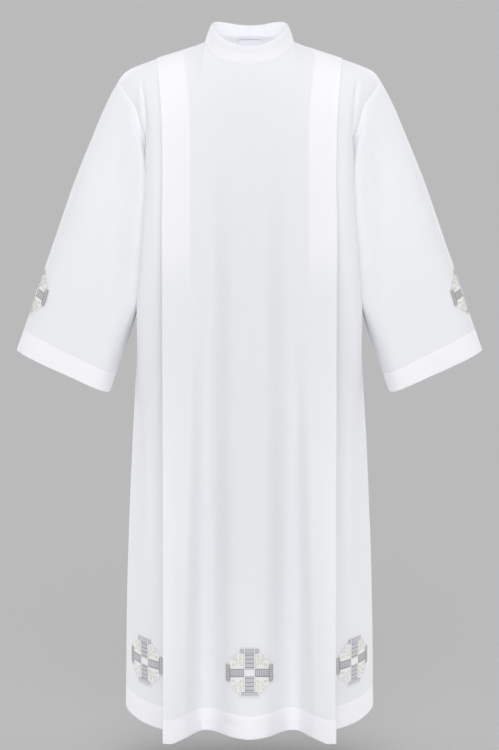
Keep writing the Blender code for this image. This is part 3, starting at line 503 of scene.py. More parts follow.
# %% [markdown]
# ## The sleeves
#
# A sleeve is a tube that starts as the shape of its armhole and turns, over its first third, into
# a flat oval. A bought-in sleeve tool would need two closed curves and a bridge between them. A
# blend does the same and keeps every column straight: near the armhole each point follows its
# own seam point, further down it follows the oval.

# %% The sleeve, a column for each share of its length
SLEEVE = {
    "share": (0.00, 0.04, 0.09, 0.20, 0.34, 0.50, 0.66, 0.83, 1.00),
    "outer_x": (0.2517, 0.2620, 0.2750, 0.3035, 0.3400, 0.3725, 0.4020, 0.4290, 0.4560),
    "outer_z": (-0.0715, -0.0890, -0.1140, -0.1800, -0.2680, -0.3600, -0.4430, -0.5200, -0.5954),
    "inner_x": (0.1700, 0.1806, 0.1856, 0.1910, 0.1995, 0.2105, 0.2272, 0.2502, 0.2736),
    "inner_z": (-0.3350, -0.3380, -0.3530, -0.3860, -0.4290, -0.4830, -0.5440, -0.6120, -0.6768),
    "half_depth": (0.0600, 0.0600, 0.0600, 0.0590, 0.0570, 0.0535, 0.0495, 0.0450, 0.0400),
}
SLEEVE_BLEND = 0.30  # the share of the sleeve over which the armhole's shape gives way to the oval
SLEEVE_PRESSED = 1.10  # how much the side that lies against the body is pressed flat
SLEEVE_HOLLOWS = {  # where the sleeve caves in, by its angle round the oval and its place along it
    "angle": (1.15, -1.25),
    "place": (0.30, 0.34),
    "length": (0.20, 0.18),
    "width": (0.42, 0.45),
    "depth": (0.0070, 0.0060),
}
print(f"sleeve: {len(SLEEVE['share'])} ovals and {len(SLEEVE_HOLLOWS['angle'])} hollows below the shoulder")


# %% The sleeve as rings of points
CUFF_TURN_UP = 0.042


def sleeve_frame(share):
    """Middle, half width towards the outer edge, and half depth at a share of its length."""
    v = {name: float(through(SLEEVE["share"], SLEEVE[name], share)) for name in SLEEVE}
    outer = np.array([v["outer_x"], 0.0, v["outer_z"]])
    inner = np.array([v["inner_x"], 0.0, v["inner_z"]])
    return (outer + inner) / 2, (outer - inner) / 2, v["half_depth"]


def oval(share, angle):
    """Points of the sleeve's oval: angle 0 on the outer edge, growing towards the front."""
    middle, half, depth = sleeve_frame(share)
    depth = np.full(np.shape(angle), depth)
    for row in range(len(SLEEVE_HOLLOWS["angle"])):
        turned = (angle - SLEEVE_HOLLOWS["angle"][row] + math.pi) % (2 * math.pi) - math.pi
        off = (turned / SLEEVE_HOLLOWS["width"][row]) ** 2
        along = ((share - SLEEVE_HOLLOWS["place"][row]) / SLEEVE_HOLLOWS["length"][row]) ** 2
        depth = depth - SLEEVE_HOLLOWS["depth"][row] * np.exp(-off - along)
    flatter = 1 + SLEEVE_PRESSED * np.minimum(np.cos(angle), 0) ** 2
    front = np.stack([depth * 0, depth * np.sin(angle) * flatter, depth * 0], axis=-1)
    return middle + half * np.cos(angle)[..., None] - front


def armhole_loop():
    """The armhole seam, once round: the front from shoulder to underarm, then the back."""
    front = armhole(SEAM_SHARES)
    return np.concatenate([front, (front * [1, -1, 1])[1:-1][::-1]])


def loop_angles(loop):
    """The angle of the sleeve's first oval that each point of the seam belongs to."""
    middle, half, _ = sleeve_frame(0.0)
    angles = np.arccos(np.clip((loop - middle) @ half / (half @ half), -1.0, 1.0))
    return np.where(loop[:, 1] > 1e-9, -angles, angles)


SLEEVE_RINGS, CUFF_RINGS = 66, 7
sleeve_length = np.linalg.norm(sleeve_frame(1.0)[0] - sleeve_frame(0.9)[0]) / 0.1
cuff_share = 1 - CUFF_TURN_UP / sleeve_length
ring_shares = np.concatenate([
    [0.0, 0.003, 0.007],
    np.linspace(0.014, cuff_share - ROWS_APART / sleeve_length, SLEEVE_RINGS - 4),
    cuff_share + np.array([-ROW_APART, 0.0]) / sleeve_length,
    np.linspace(cuff_share + ROW_APART / sleeve_length, 1 - ROLL / sleeve_length, CUFF_RINGS),
])
loop = armhole_loop()
angles = loop_angles(loop)
sleeve_grid = np.array([
    oval(share, angles) + (1 - smooth_step(share / SLEEVE_BLEND)) * (loop - oval(0.0, angles))
    for share in ring_shares
])
print(f"sleeve: {sleeve_grid.shape[0]} rings of {sleeve_grid.shape[1]} points, {sleeve_length:.3f} m")

# %% [markdown]
# ## Which way is out
#
# Creases, seam grooves and turned edges all move points in or out of the cloth. So each grid
# needs, at every point, the direction that stands square to it. It comes from the small faces
# round the point.


# %% Directions out of a grid
def normals_of(grid, outward, ring=False):
    """The direction square to the cloth at each point; outward is 1 or -1 by the grid's own turn."""
    if ring:
        grid = np.concatenate([grid[:, -1:], grid, grid[:, :1]], axis=1)
    faces = np.cross(grid[1:, 1:] - grid[:-1, :-1], grid[:-1, 1:] - grid[1:, :-1]) * outward
    faces = faces / np.maximum(np.linalg.norm(faces, axis=2, keepdims=True), 1e-12)
    padded = np.pad(faces, ((1, 1), (1, 1), (0, 0)), mode="edge")
    total = padded[1:, 1:] + padded[:-1, 1:] + padded[1:, :-1] + padded[:-1, :-1]
    normals = unit(total)
    return normals[:, 1:-1] if ring else normals


def soft_band(distance, width):
    """1 in the middle of a band, falling smoothly to 0 at its edges."""
    return 1 - smooth_step(np.abs(distance) / width)


breast = normals_of(front_grid, 1.0)[len(YOKE_SHARES), front_grid.shape[1] // 2]
print("the breast faces", [round(float(v), 2) for v in breast])


# %% [markdown]
# ## Creases, placed one by one
#
# Cloth that hangs from the shoulders is never quite smooth, but a well pressed robe shows only a
# few long, soft lines. A cloth simulation would scatter its own. So each crease here is drawn as a
# path in the front view, with its own width and depth, and dies away at both ends. Both sides of
# the robe have the same ones, as mirror images, and its back has others than its front.

# %% Creases of the front
# x and z are the path seen from the front, and a depth below 0 is a trough.
FRONT_CREASES = (
    {"x": (0.2062, 0.2036, 0.1990, 0.1972, 0.1975), "z": (-0.064, -0.084, -0.122, -0.160, -0.200),
     "width": 0.0032, "depth": -0.0028},
    {"x": (0.2130, 0.2105, 0.2060, 0.2030), "z": (-0.070, -0.092, -0.124, -0.150),
     "width": 0.0060, "depth": 0.0012},
    {"x": (0.1930, 0.1850, 0.1835, 0.1850), "z": (-0.090, -0.170, -0.300, -0.420),
     "width": 0.0070, "depth": 0.0010},
    {"x": (0.2120, 0.2000, 0.1960, 0.1980), "z": (-0.560, -0.720, -0.900, -1.080),
     "width": 0.0150, "depth": 0.0022},
    {"x": (0.1860, 0.1830, 0.1850), "z": (-0.640, -0.860, -1.150), "width": 0.0120, "depth": -0.0016},
    {"x": (0.1240, 0.1180, 0.1130, 0.1100), "z": (-0.430, -0.600, -0.800, -1.000),
     "width": 0.0170, "depth": 0.0010},
    {"x": (0.0800, 0.0780, 0.0800, 0.0815, 0.0820), "z": (-0.180, -0.540, -0.900, -1.330, -1.800),
     "width": 0.0220, "depth": -0.0068},
    {"x": (0.0330, 0.0330, 0.0340, 0.0350, 0.0360), "z": (-0.260, -0.600, -0.940, -1.330, -1.800),
     "width": 0.0200, "depth": 0.0062},
    {"x": (0.1230, 0.1270, 0.1300, 0.1320), "z": (-0.400, -0.700, -1.000, -1.400),
     "width": 0.0110, "depth": -0.0020},
    {"x": (0.0640, 0.0690, 0.0720), "z": (-0.150, -0.360, -0.640), "width": 0.0180, "depth": -0.0044},
    {"x": (0.0260, 0.0270, 0.0280), "z": (-0.190, -0.400, -0.660), "width": 0.0180, "depth": 0.0030},
)
print(f"{len(FRONT_CREASES)} creases on each side of the front")

# %% Creases of the back and the sleeves
BACK_CREASES = (
    {"x": (0.2050, 0.1970, 0.1960), "z": (-0.075, -0.140, -0.240), "width": 0.0035, "depth": -0.0014},
    {"x": (0.1780, 0.1720, 0.1700), "z": (-0.080, -0.180, -0.360), "width": 0.0090, "depth": 0.0012},
    {"x": (0.0900, 0.0720, 0.0640, 0.0630), "z": (-0.060, -0.200, -0.420, -0.700),
     "width": 0.0160, "depth": 0.0018},
    {"x": (0.1350, 0.1390, 0.1450), "z": (-0.520, -0.760, -1.040), "width": 0.0130, "depth": -0.0019},
    {"x": (0.0330, 0.0300, 0.0350), "z": (-0.380, -0.660, -0.980), "width": 0.0150, "depth": -0.0014},
    {"x": (0.1950, 0.1990, 0.2020), "z": (-0.620, -0.850, -1.120), "width": 0.0110, "depth": 0.0017},
)
SLEEVE_FRONT_CREASES = (
    {"x": (0.2150, 0.2110, 0.2120, 0.2200, 0.2330, 0.2400),
     "z": (-0.105, -0.165, -0.260, -0.370, -0.480, -0.540), "width": 0.0200, "depth": 0.0040},
    {"x": (0.2420, 0.2560, 0.2790), "z": (-0.205, -0.245, -0.302), "width": 0.0100, "depth": -0.0022},
    {"x": (0.2300, 0.2390, 0.2620), "z": (-0.225, -0.275, -0.340), "width": 0.0090, "depth": 0.0016},
    {"x": (0.3680, 0.3560, 0.3400), "z": (-0.432, -0.424, -0.419), "width": 0.0050, "depth": -0.0008},
    {"x": (0.2880, 0.3150, 0.3480), "z": (-0.240, -0.350, -0.480), "width": 0.0180, "depth": 0.0015},
    {"x": (0.2450, 0.2560, 0.2760), "z": (-0.370, -0.450, -0.560), "width": 0.0120, "depth": -0.0018},
    {"x": (0.3350, 0.3560, 0.3800), "z": (-0.330, -0.430, -0.530), "width": 0.0130, "depth": -0.0010},
)
SLEEVE_BACK_CREASES = (
    {"x": (0.2380, 0.2540, 0.2830), "z": (-0.190, -0.250, -0.320), "width": 0.0100, "depth": -0.0024},
    {"x": (0.2820, 0.3120, 0.3400), "z": (-0.260, -0.370, -0.500), "width": 0.0170, "depth": 0.0017},
    {"x": (0.2520, 0.2650, 0.2850), "z": (-0.390, -0.480, -0.590), "width": 0.0110, "depth": -0.0016},
    {"x": (0.3150, 0.3290, 0.3330), "z": (-0.230, -0.300, -0.380), "width": 0.0120, "depth": 0.0010},
)
print(f"{len(BACK_CREASES)} on each side of the back")
print(f"{len(SLEEVE_FRONT_CREASES)} and {len(SLEEVE_BACK_CREASES)} in front and behind on each sleeve")

# %% Push the cloth out along its creases
PATH_STEPS, NEAR_WIDTHS = 60, 4  # points along a crease, and how many widths away it is still felt
FADE_END, FADE_POWER = 0.02, 0.8  # of the sine by which a crease dies away at both ends
UNEVEN = 0.00022


def crease_push(points, creases):
    """How far the creases push each point out, by its place (|x|, z)."""
    place = np.stack([np.abs(points[..., 0]), points[..., 2]], axis=-1).reshape(-1, 2)
    push = np.zeros(len(place))
    along = np.linspace(0, 1, PATH_STEPS)
    for crease in creases:
        knots = np.linspace(0, 1, len(crease["x"]))
        path = np.stack([through(knots, crease[axis], along) for axis in "xz"], axis=-1)
        reach = NEAR_WIDTHS * crease["width"]
        in_box = (place > path.min(axis=0) - reach) & (place < path.max(axis=0) + reach)
        near = np.nonzero(np.all(in_box, axis=1))[0]
        gap = np.linalg.norm(place[near, None] - path[None], axis=2)
        nearest = gap.argmin(axis=1)
        fade = np.sin(math.pi * np.clip(along[nearest], FADE_END, 1 - FADE_END)) ** FADE_POWER
        across = np.exp(-((gap.min(axis=1) / crease["width"]) ** 2))
        push[near] += crease["depth"] * fade * across
    return push.reshape(points.shape[:-1])


def softly_uneven(points, seed):
    """A very small unevenness, in waves whose lengths have no common measure."""
    x, y, z = points[..., 0], points[..., 1], points[..., 2]
    wave = np.sin(41 * x + 13 * z + seed) * np.sin(17 * z - 23 * x + 2 * seed)
    wave = wave + 0.6 * np.sin(67 * x - 29 * z + 31 * y + 3 * seed) * np.sin(37 * z + 11 * y)
    return UNEVEN * wave


deepest = min(crease["depth"] for crease in FRONT_CREASES)
print(f"the deepest trough of the front is {-deepest * 1000:.1f} mm")

# %% Even out the front below the neck
# The corner of the neckline would draw a groove down the front.
CALM_X, CALM_HALF_WIDTH = 0.088, 0.050
CALM_END, CALM_FADE = -0.30, 0.12
CALM_SHARE, CALM_ROUNDS, TOP_ROWS_KEPT = 0.9, 80, 4
columns_whole = np.concatenate([strip_of_column, strip_of_column[-2::-1]])
SIDE, CENTRE = 0, 4  # the strips that show, of the five that strip_of_column counts
lies_open = np.isin(columns_whole, (SIDE, CENTRE))
calm = soft_band(np.abs(front_grid[..., 0]) - CALM_X, CALM_HALF_WIDTH)
calm = calm * smooth_step((front_grid[..., 2] - CALM_END) / CALM_FADE)
calm *= lies_open * smooth_step(np.arange(len(front_grid)) / TOP_ROWS_KEPT)[:, None] * CALM_SHARE
before = front_grid.copy()
for _ in range(CALM_ROUNDS):
    middle = (front_grid[:, :-2, 1] + front_grid[:, 2:, 1]) / 2
    front_grid[:, 1:-1, 1] += (middle - front_grid[:, 1:-1, 1]) * calm[:, 1:-1]
print(f"evened out by up to {np.abs(front_grid - before).max() * 1000:.1f} mm")

# %% Crease the front and the back
EDGE_COLUMNS = 5  # over so many columns from an edge the creases fade in
front_normals = normals_of(front_grid, 1.0)
push = (crease_push(front_grid, FRONT_CREASES) + softly_uneven(front_grid, 1.0)) * lies_open
pleat_edge = np.minimum.reduce([
    smooth_step(np.abs(np.arange(front_grid.shape[1]) - edge) / EDGE_COLUMNS)
    for edge in np.nonzero(np.diff(columns_whole))[0]
])
front_grid = front_grid + front_normals * (push * pleat_edge)[..., None]
print(f"creases move the front by up to {np.abs(push).max() * 1000:.1f} mm")

back_normals = normals_of(back_grid, -1.0)
push = crease_push(back_grid, BACK_CREASES) + softly_uneven(back_grid, 4.0)
edge = np.minimum(np.arange(back_grid.shape[1]), np.arange(back_grid.shape[1])[::-1])
back_grid = back_grid + back_normals * (push * smooth_step(edge / EDGE_COLUMNS))[..., None]
print(f"creases move the back by up to {np.abs(push).max() * 1000:.1f} mm")

# %% Lay the sleeve against the body
# Beside the body the sleeve's front is drawn forward, almost to the front panel's own edge.
BESIDE_BODY, BEHIND_EDGE = 0.050, 0.0045
REACH_TOP, REACH_TOP_FADE = -0.110, 0.07
REACH_END, REACH_END_FADE = -0.60, 0.12
OFF_FOLD = 0.030  # how far in front of the sleeve's edge this takes full hold
FROM_SEAM = 0.05  # the share of the sleeve over which its seam keeps its own shape
height = np.clip(sleeve_grid[..., 2], HEM_HEIGHT, YOKE_HEIGHT)
edge_x, edge_y = (through(FRONT["z"], FRONT[name], height) for name in ("crease_x", "crease_y"))
near_body = smooth_step((edge_x + BESIDE_BODY - sleeve_grid[..., 0]) / BESIDE_BODY)
in_reach = smooth_step((REACH_TOP - sleeve_grid[..., 2]) / REACH_TOP_FADE)
in_reach = in_reach * smooth_step((sleeve_grid[..., 2] - REACH_END) / REACH_END_FADE)
off_fold = smooth_step(-sleeve_grid[..., 1] / OFF_FOLD)
from_seam = smooth_step(ring_shares / FROM_SEAM)[:, None]
short_of = np.minimum(edge_y + BEHIND_EDGE - sleeve_grid[..., 1], 0)
drawn = short_of * near_body * in_reach * off_fold * from_seam
sleeve_grid[..., 1] += drawn
print(f"the sleeve comes forward by up to {-drawn.min() * 1000:.0f} mm")

# %% Crease the sleeve
FRONT_TO_BACK = 0.02  # the depth over which the front's creases give way to the back's
sleeve_normals = normals_of(sleeve_grid, -1.0, ring=True)
in_front = smooth_step(0.5 - sleeve_grid[..., 1] / FRONT_TO_BACK)
push = crease_push(sleeve_grid, SLEEVE_FRONT_CREASES) * in_front
push += crease_push(sleeve_grid, SLEEVE_BACK_CREASES) * (1 - in_front)
push += softly_uneven(sleeve_grid, 7.0)
sleeve_grid = sleeve_grid + sleeve_normals * (push * from_seam)[..., None]
print(f"creases move the sleeve by up to {np.abs(push).max() * 1000:.1f} mm")

# %% [markdown]
# ## Seams and turned edges
#
# Two pieces that are sewn together pull in along the stitches: a pressed seam hardly sinks at all,
# and a row of stitches through the cloth sinks by less than half a millimetre. A hem is the same
# cloth turned up inside, so its edge isn't cut but round. Both could be painted as lines, and both
# would vanish in a close view. Here the last points of each piece sink at its seams, the row that
# is stitched sinks too, and at hem and cuff the grid goes on: round a half circle, and up inside.

# %% Sink the seams
SEAM_SINK = 0.00005
SINK_SHARES = (1.0, 0.55, 0.12)  # of the sewn line, and of the two lines beside it
STITCH_SINK = 0.0004  # how far a row of stitches draws the cloth in


def sunk(grid, normals, lines):
    """Lets the lines of a grid that are sewn sink: each is (axis, index), counted from that edge."""
    out = grid.copy()
    for axis, index in lines:
        for step, share in enumerate(SINK_SHARES):
            place = step if index == 0 else -1 - step
            line = (place,) if axis == 0 else (slice(None), place)
            out[line] -= normals[line] * SEAM_SINK * share
    return out


front_normals, back_normals = normals_of(front_grid, 1.0), normals_of(back_grid, -1.0)
sleeve_normals = normals_of(sleeve_grid, -1.0, ring=True)
front_grid = sunk(front_grid, front_normals, ((0, 0), (1, 0), (1, -1)))
back_grid = sunk(back_grid, back_normals, ((0, 0), (1, 0), (1, -1)))
sleeve_grid = sunk(sleeve_grid, sleeve_normals, ((0, 0),))
HEM_LINE, CUFF_LINE = -1 - HEM_ROWS, -1 - CUFF_RINGS  # the rows that are stitched
front_grid[HEM_LINE] -= front_normals[HEM_LINE] * STITCH_SINK
back_grid[HEM_LINE] -= back_normals[HEM_LINE] * STITCH_SINK
sleeve_grid[CUFF_LINE] -= sleeve_normals[CUFF_LINE] * STITCH_SINK
turned = (front_grid[HEM_LINE, :, 2] - front_grid[-1, :, 2]).mean()
print(f"the front's hem is stitched {turned * 1000:.0f} mm up")


# %% Turn up the hem and the cuffs
def turned_up(grid, normals, rows):
    """The grid carried on round its last row and back up inside for so many rows."""
    down = unit(grid[-1] - grid[-2])
    turn = np.linspace(0, math.pi, ROLL_ROWS + 2)[1:-1]
    centre = grid[-1] - normals[-1] * ROLL
    roll = [centre + ROLL * (normals[-1] * math.cos(t) + down * math.sin(t)) for t in turn]
    inside = (grid[-rows - 1 :] - normals[-rows - 1 :] * 2 * ROLL)[::-1]
    return np.concatenate([grid, np.array(roll), inside])


front_cloth = turned_up(front_grid, front_normals, HEM_ROWS)
back_cloth = turned_up(back_grid, back_normals, HEM_ROWS)
sleeve_cloth = turned_up(sleeve_grid, sleeve_normals, CUFF_RINGS)
for title, grid in (("front", front_cloth), ("back", back_cloth), ("sleeve", sleeve_cloth)):
    print(f"{title}: {grid.shape[0]} x {grid.shape[1]} points with its turned edge")

# %% [markdown]
# ## Where the cloth is double
#
# This cloth is thin. One layer lets a little of the shade behind it through and looks cool and
# slightly grey. Two layers look whiter: the hem, the cuffs, the collar, the pressed part of each
# pleat and the narrow turnings inside a seam. This difference is most of what the eye sees on a
# white robe. It is painted, not lit: each point carries a number, "layers", from 0 for single to 1
# for double, and the material paints the shade that shows through one layer into its colour, so
# single cloth is painted greyer and double cloth whiter.

# %% Layers of the front
PRESSED_FROM, PRESSED_TO = -0.360, -0.500  # over which the pleat's pressed part ends
PRESSED_EDGE = 0.0008  # half the width over which its upright edge fades
SEAM_TURNING, SHOULDER_TURNING = 0.008, 0.022


def hem_layers(grid, rows):
    """1 from the top of a turned-up edge to its end."""
    layers = np.zeros(grid.shape[:2])
    layers[-(rows + 1) * 2 - ROLL_ROWS :] = 1.0
    return layers


def distance_down(grid):
    """How far down its column each point of a grid is."""
    steps = np.linalg.norm(np.diff(grid, axis=0, prepend=grid[:1]), axis=2)
    return np.cumsum(steps, axis=0)


def top_turning(grid):
    """1 at a panel's top edge, fading over what is turned in there at the shoulder and the neck."""
    turning = np.where(np.abs(grid[0, :, 0]) > SHOULDER_NECK[0], SHOULDER_TURNING, SEAM_TURNING)
    return soft_band(distance_down(grid), turning)


front_layers = hem_layers(front_cloth, HEM_ROWS)
place_x, place_z = np.abs(front_cloth[..., 0]), front_cloth[..., 2]
inner_x = through(FRONT["z"], FRONT["inner_x"], np.maximum(place_z, HEM_HEIGHT))
over_shoulder_x = SHOULDER_INNER_X + (inner_x - SHOULDER_INNER_X) * smooth_step(place_z / YOKE_HEIGHT)
pressed = smooth_step((place_z - PRESSED_TO) / (PRESSED_FROM - PRESSED_TO))
inside_band = smooth_step((place_x - over_shoulder_x + PRESSED_EDGE) / (2 * PRESSED_EDGE))
on_top = np.isin(columns_whole, (CENTRE - 1, CENTRE))  # the middle panel and the bend beside it
front_layers = np.maximum(front_layers, pressed * inside_band * on_top)
front_layers = np.maximum(front_layers, top_turning(front_cloth))
print(f"{front_layers.mean() * 100:.0f} % of the front's points are double")

# %% Layers of the back and the sleeves
ARMHOLE_TURNING = 1.3 * SEAM_TURNING
back_layers = np.maximum(hem_layers(back_cloth, HEM_ROWS), top_turning(back_cloth))
sleeve_layers = hem_layers(sleeve_cloth, CUFF_RINGS)
sleeve_layers = np.maximum(sleeve_layers, soft_band(distance_down(sleeve_cloth), ARMHOLE_TURNING))
print(f"{back_layers.mean() * 100:.0f} % of the back's, {sleeve_layers.mean() * 100:.0f} % of the sleeve's")


# %% [markdown]
# ## From grid to cloth
#
# A grid becomes a mesh of four-sided faces. Its UV map is laid out in metres, along warp and weft,
# so that the weave in the material has its real size. Solidify then gives the sheet the thickness
# of one layer, on its inner side. Thickness could also be built into the grid, but as a modifier it
# stays one number.

# %% From a grid to a mesh
WALL = 0.0009  # one layer of cloth
collection = bpy.data.collections.new("alb")
bpy.context.scene.collection.children.link(collection)


def face_corners(grid, ring):
    """The row and the column of each corner of each face; a ring's last column meets its first."""
    rows, columns = grid.shape[:2]
    wrap = columns if ring else columns - 1
    row, column = np.meshgrid(np.arange(rows - 1), np.arange(wrap), indexing="ij")
    corner_row = np.stack([row, row, row + 1, row + 1], axis=-1).reshape(-1, 4)
    corner_column = np.stack([column, column + 1, column + 1, column], axis=-1).reshape(-1, 4)
    return corner_row, corner_column


def closed_round(grid, ring):
    return np.concatenate([grid, grid[:, :1]], axis=1) if ring else grid


def grid_mesh(name, grid, outward, ring=False):
    """A mesh of the grid's faces, with a UV map in metres along its rows and columns."""
    corner_row, corner_column = face_corners(grid, ring)
    if outward > 0:
        corner_row, corner_column = corner_row[:, ::-1], corner_column[:, ::-1]
    columns = grid.shape[1]
    faces = corner_row * columns + corner_column % columns
    mesh = bpy.data.meshes.new(name)
    mesh.from_pydata(grid.reshape(-1, 3).tolist(), [], faces.tolist())
    across = np.linalg.norm(np.diff(closed_round(grid, ring), axis=1), axis=2).mean(axis=0)
    along = np.linalg.norm(np.diff(grid, axis=0), axis=2).mean(axis=1)
    u = np.concatenate([[0], np.cumsum(across)])
    v = np.concatenate([[0], np.cumsum(along)])
    uv = np.stack([u[corner_column], -v[corner_row]], axis=-1)
    mesh.uv_layers.new(name="cloth").data.foreach_set("uv", uv.reshape(-1))
    mesh.polygons.foreach_set("use_smooth", [True] * len(mesh.polygons))
    return mesh


print("the robe's pieces go into the collection", collection.name)


# %% From a mesh to a piece of cloth
def cloth_piece(name, grid, outward, layers=1.0, wall=WALL, ring=False):
    """A piece of cloth with its "layers" and the thickness of one layer."""
    mesh = grid_mesh(name, grid, outward, ring)
    values = np.broadcast_to(layers, grid.shape[:2]).reshape(-1).astype(np.float32)
    mesh.attributes.new("layers", "FLOAT", "POINT").data.foreach_set("value", values)
    piece = bpy.data.objects.new(name, mesh)
    collection.objects.link(piece)
    thick = piece.modifiers.new("one layer of cloth", "SOLIDIFY")
    thick.thickness = wall
    thick.offset = -1.0
    return piece


def cut_of(grid, ring=False):
    """Width, length and area of the flat piece that a grid was cut from."""
    closed = closed_round(grid, ring)
    width = np.linalg.norm(np.diff(closed, axis=1), axis=2).sum(axis=1)
    length = np.linalg.norm(np.diff(grid, axis=0), axis=2).sum(axis=0)
    diagonals = np.cross(closed[1:, 1:] - closed[:-1, :-1], closed[:-1, 1:] - closed[1:, :-1])
    area = np.linalg.norm(diagonals, axis=2).sum() / 2
    flat = (round(float(width.max()), 4), round(float(length.max()), 4))
    return flat, round(min(float(area), flat[0] * flat[1]), 6)


print(f"one layer of cloth is {WALL * 1000:.1f} mm thick")

# %% The four large pieces
front = cloth_piece("front_cloth", front_cloth, 1.0, front_layers)
back = cloth_piece("back_cloth", back_cloth, -1.0, back_layers)
sleeve_left = cloth_piece("sleeve_left_cloth", sleeve_cloth, -1.0, sleeve_layers, ring=True)
sleeve_right = cloth_piece("sleeve_right_cloth", sleeve_cloth * [-1, 1, 1], 1.0, sleeve_layers, ring=True)
cuts = {
    "front": cut_of(front_cloth),
    "back": cut_of(back_cloth),
    "sleeve": cut_of(sleeve_cloth, ring=True),
}
for title, (flat, area) in cuts.items():
    print(f"{title}: cut {flat[0]} x {flat[1]} m at its widest and longest, {area} m2")

# %% [markdown]
# ## The collar
#
# The collar is a straight band, folded in half along its top edge and sewn on at the neckline. It
# goes once round and its two ends meet over the wearer's left shoulder, where the robe opens. As a
# single sheet that goes up outside, over the rim and down inside, its rim is really a fold.

# %% The collar's rim
RIM_HALF_WIDTH, RIM_FRONT, RIM_BACK = 0.0728, -0.0525, 0.0505
RIM_SIDE_HEIGHT, RIM_FRONT_HEIGHT, RIM_BACK_HEIGHT = 0.0420, -0.0042, 0.0333
RIM_DIP, RIM_DROP = 1.25, 4.0  # powers that shape the rim's height in front and behind
RIM_ROUNDED = 0.0055  # how much lower the rim is over a shoulder
RIM_ROUNDING = (0.20, 0.38)  # over how many radians in front and behind
COLLAR_BOW = 0.0012  # how far the band bows out halfway up


def rim(angle, front):
    """Points of the collar's rim: angle 0 above the shoulder seam, a quarter turn at the middle."""
    depth, middle = (RIM_FRONT, RIM_FRONT_HEIGHT) if front else (RIM_BACK, RIM_BACK_HEIGHT)
    power = RIM_DIP if front else RIM_DROP
    height = RIM_SIDE_HEIGHT + (middle - RIM_SIDE_HEIGHT) * np.abs(np.sin(angle)) ** power
    height = height - RIM_ROUNDED * np.exp(-((angle / RIM_ROUNDING[0 if front else 1]) ** 2))
    return np.stack([RIM_HALF_WIDTH * np.cos(angle), depth * np.sin(angle), height], axis=-1)


opening = rim(math.pi / 2, False) - rim(math.pi / 2, True)
print(f"the rim is {opening[1] * 1000:.0f} mm deep and {opening[2] * 1000:.0f} mm higher behind")

# %% The collar as one folded band
SEAM_GAP = 0.0004  # between two pieces sewn edge to edge
COLLAR_QUARTER, COLLAR_ROWS = 44, 12
FOOT_OUT, FOOT_DOWN, SECOND_OUT = 0.0011, 0.0005, 0.0004  # the foot laps over the neckline's seam
quarter = np.linspace(0, math.pi / 2, COLLAR_QUARTER + 1)
low, high, out = [], [], []
for in_front, side, turn in ((True, 1, quarter[:-1]), (True, -1, quarter[::-1][:-1]),
                             (False, -1, quarter[:-1]), (False, 1, quarter[::-1])):
    low.append(neckline(turn, in_front) * [side, 1, 1])
    high.append(rim(turn, in_front) * [side, 1, 1])
    forward = -np.sin(turn) if in_front else np.sin(turn)
    out.append(np.stack([side * np.cos(turn), forward, 0 * turn], axis=-1))
low, high, out = (np.concatenate(part) for part in (low, high, out))
low[:, 2] += SEAM_GAP
rows = np.concatenate([[0.0, 0.03, 0.07], np.linspace(0.13, 1, COLLAR_ROWS - 2)])[:, None, None]
collar_grid = low + (high - low) * rows + out * COLLAR_BOW * np.sin(math.pi * rows)
collar_grid[:, 0, 1] -= SEAM_GAP / 2
collar_grid[:, -1, 1] += SEAM_GAP / 2
collar_normals = normals_of(collar_grid, 1.0)
collar_normals[:, (0, -1), 1] = 0.0
collar_normals = unit(collar_normals)
collar_grid[0] += out * FOOT_OUT - [0, 0, FOOT_DOWN]
collar_grid[1] += out * SECOND_OUT
collar_grid[-1] -= ROLL * unit(collar_grid[-1] - collar_grid[-2])
collar_cloth = turned_up(collar_grid, collar_normals, len(collar_grid) - 2)
print(f"collar: {collar_cloth.shape[0]} rows by {collar_cloth.shape[1]} columns")

# %% The collar's layers
# Seam turnings fill its foot, and its rim is a fold, so it is thinnest between the two. The lower "layers"
# there also paint shade into the band just below the rim.
THIN_AND_SHADED_AT, THIN_AND_SHADED_HALF_HEIGHT, THINNER_AND_SHADED_BY, INSIDE_LAYERS = 0.68, 0.34, 0.55, 0.85
heights = rows.reshape(-1)
outside = 1 - THINNER_AND_SHADED_BY * soft_band(heights - THIN_AND_SHADED_AT, THIN_AND_SHADED_HALF_HEIGHT)
inside = np.full(len(heights) - 1, INSIDE_LAYERS)
collar_layers = np.concatenate([outside, np.ones(ROLL_ROWS), inside])
collar = cloth_piece("collar_cloth", collar_cloth, 1.0, collar_layers[:, None])
cuts["collar"] = cut_of(collar_cloth)
print(f"collar: cut {cuts['collar'][0]} m, {cuts['collar'][1]} m2")

# %% [markdown]
# ## What is sewn inside
#
# Two woven labels hang inside the back of the neck: a short one that shows over the front rim, and
# a long one for the washing instructions, which only shades through the cloth. Both stay blank but
# for the ribs of the weave. Under the left shoulder seam lies the plain strip that backs the
# opening for the head.

# %% The two labels
LABEL_WALL, LABEL_CLEAR = 0.0005, 0.0034  # its thickness, and how far it hangs off the back
LABEL_BOW, BOW_TURN = 0.0007, 60  # how far it bows forwards halfway down, and how that varies across
LABELS = {  # middle, half width, top and bottom
    "neck_label": (0.0, 0.0215, 0.0045, -0.0150),
    "care_label": (-0.0025, 0.0145, -0.0170, -0.0920),
}
back_middle = back_grid[: len(YOKE_SHARES), back_grid.shape[1] // 2]


def inside_back(x, z):
    """How far back the inside of the back is, near the middle of the neck."""
    depth = np.interp(-z, -back_middle[:, 2], back_middle[:, 1])
    return depth - WALL - BACK_NECK[1] * (1 - np.sqrt(1 - (x / SHOULDER_NECK[0]) ** 2))


def label_grid(middle, half_width, top, bottom):
    columns = np.linspace(-half_width, half_width, 25) + middle
    x, z = np.meshgrid(columns, np.linspace(top, bottom, 30))
    halfway = np.sin(math.pi * (top - z) / (top - bottom))
    y = inside_back(x, z) - LABEL_CLEAR - LABEL_BOW * halfway * np.cos((x - middle) * BOW_TURN)
    return np.stack([x, y, z], axis=-1)


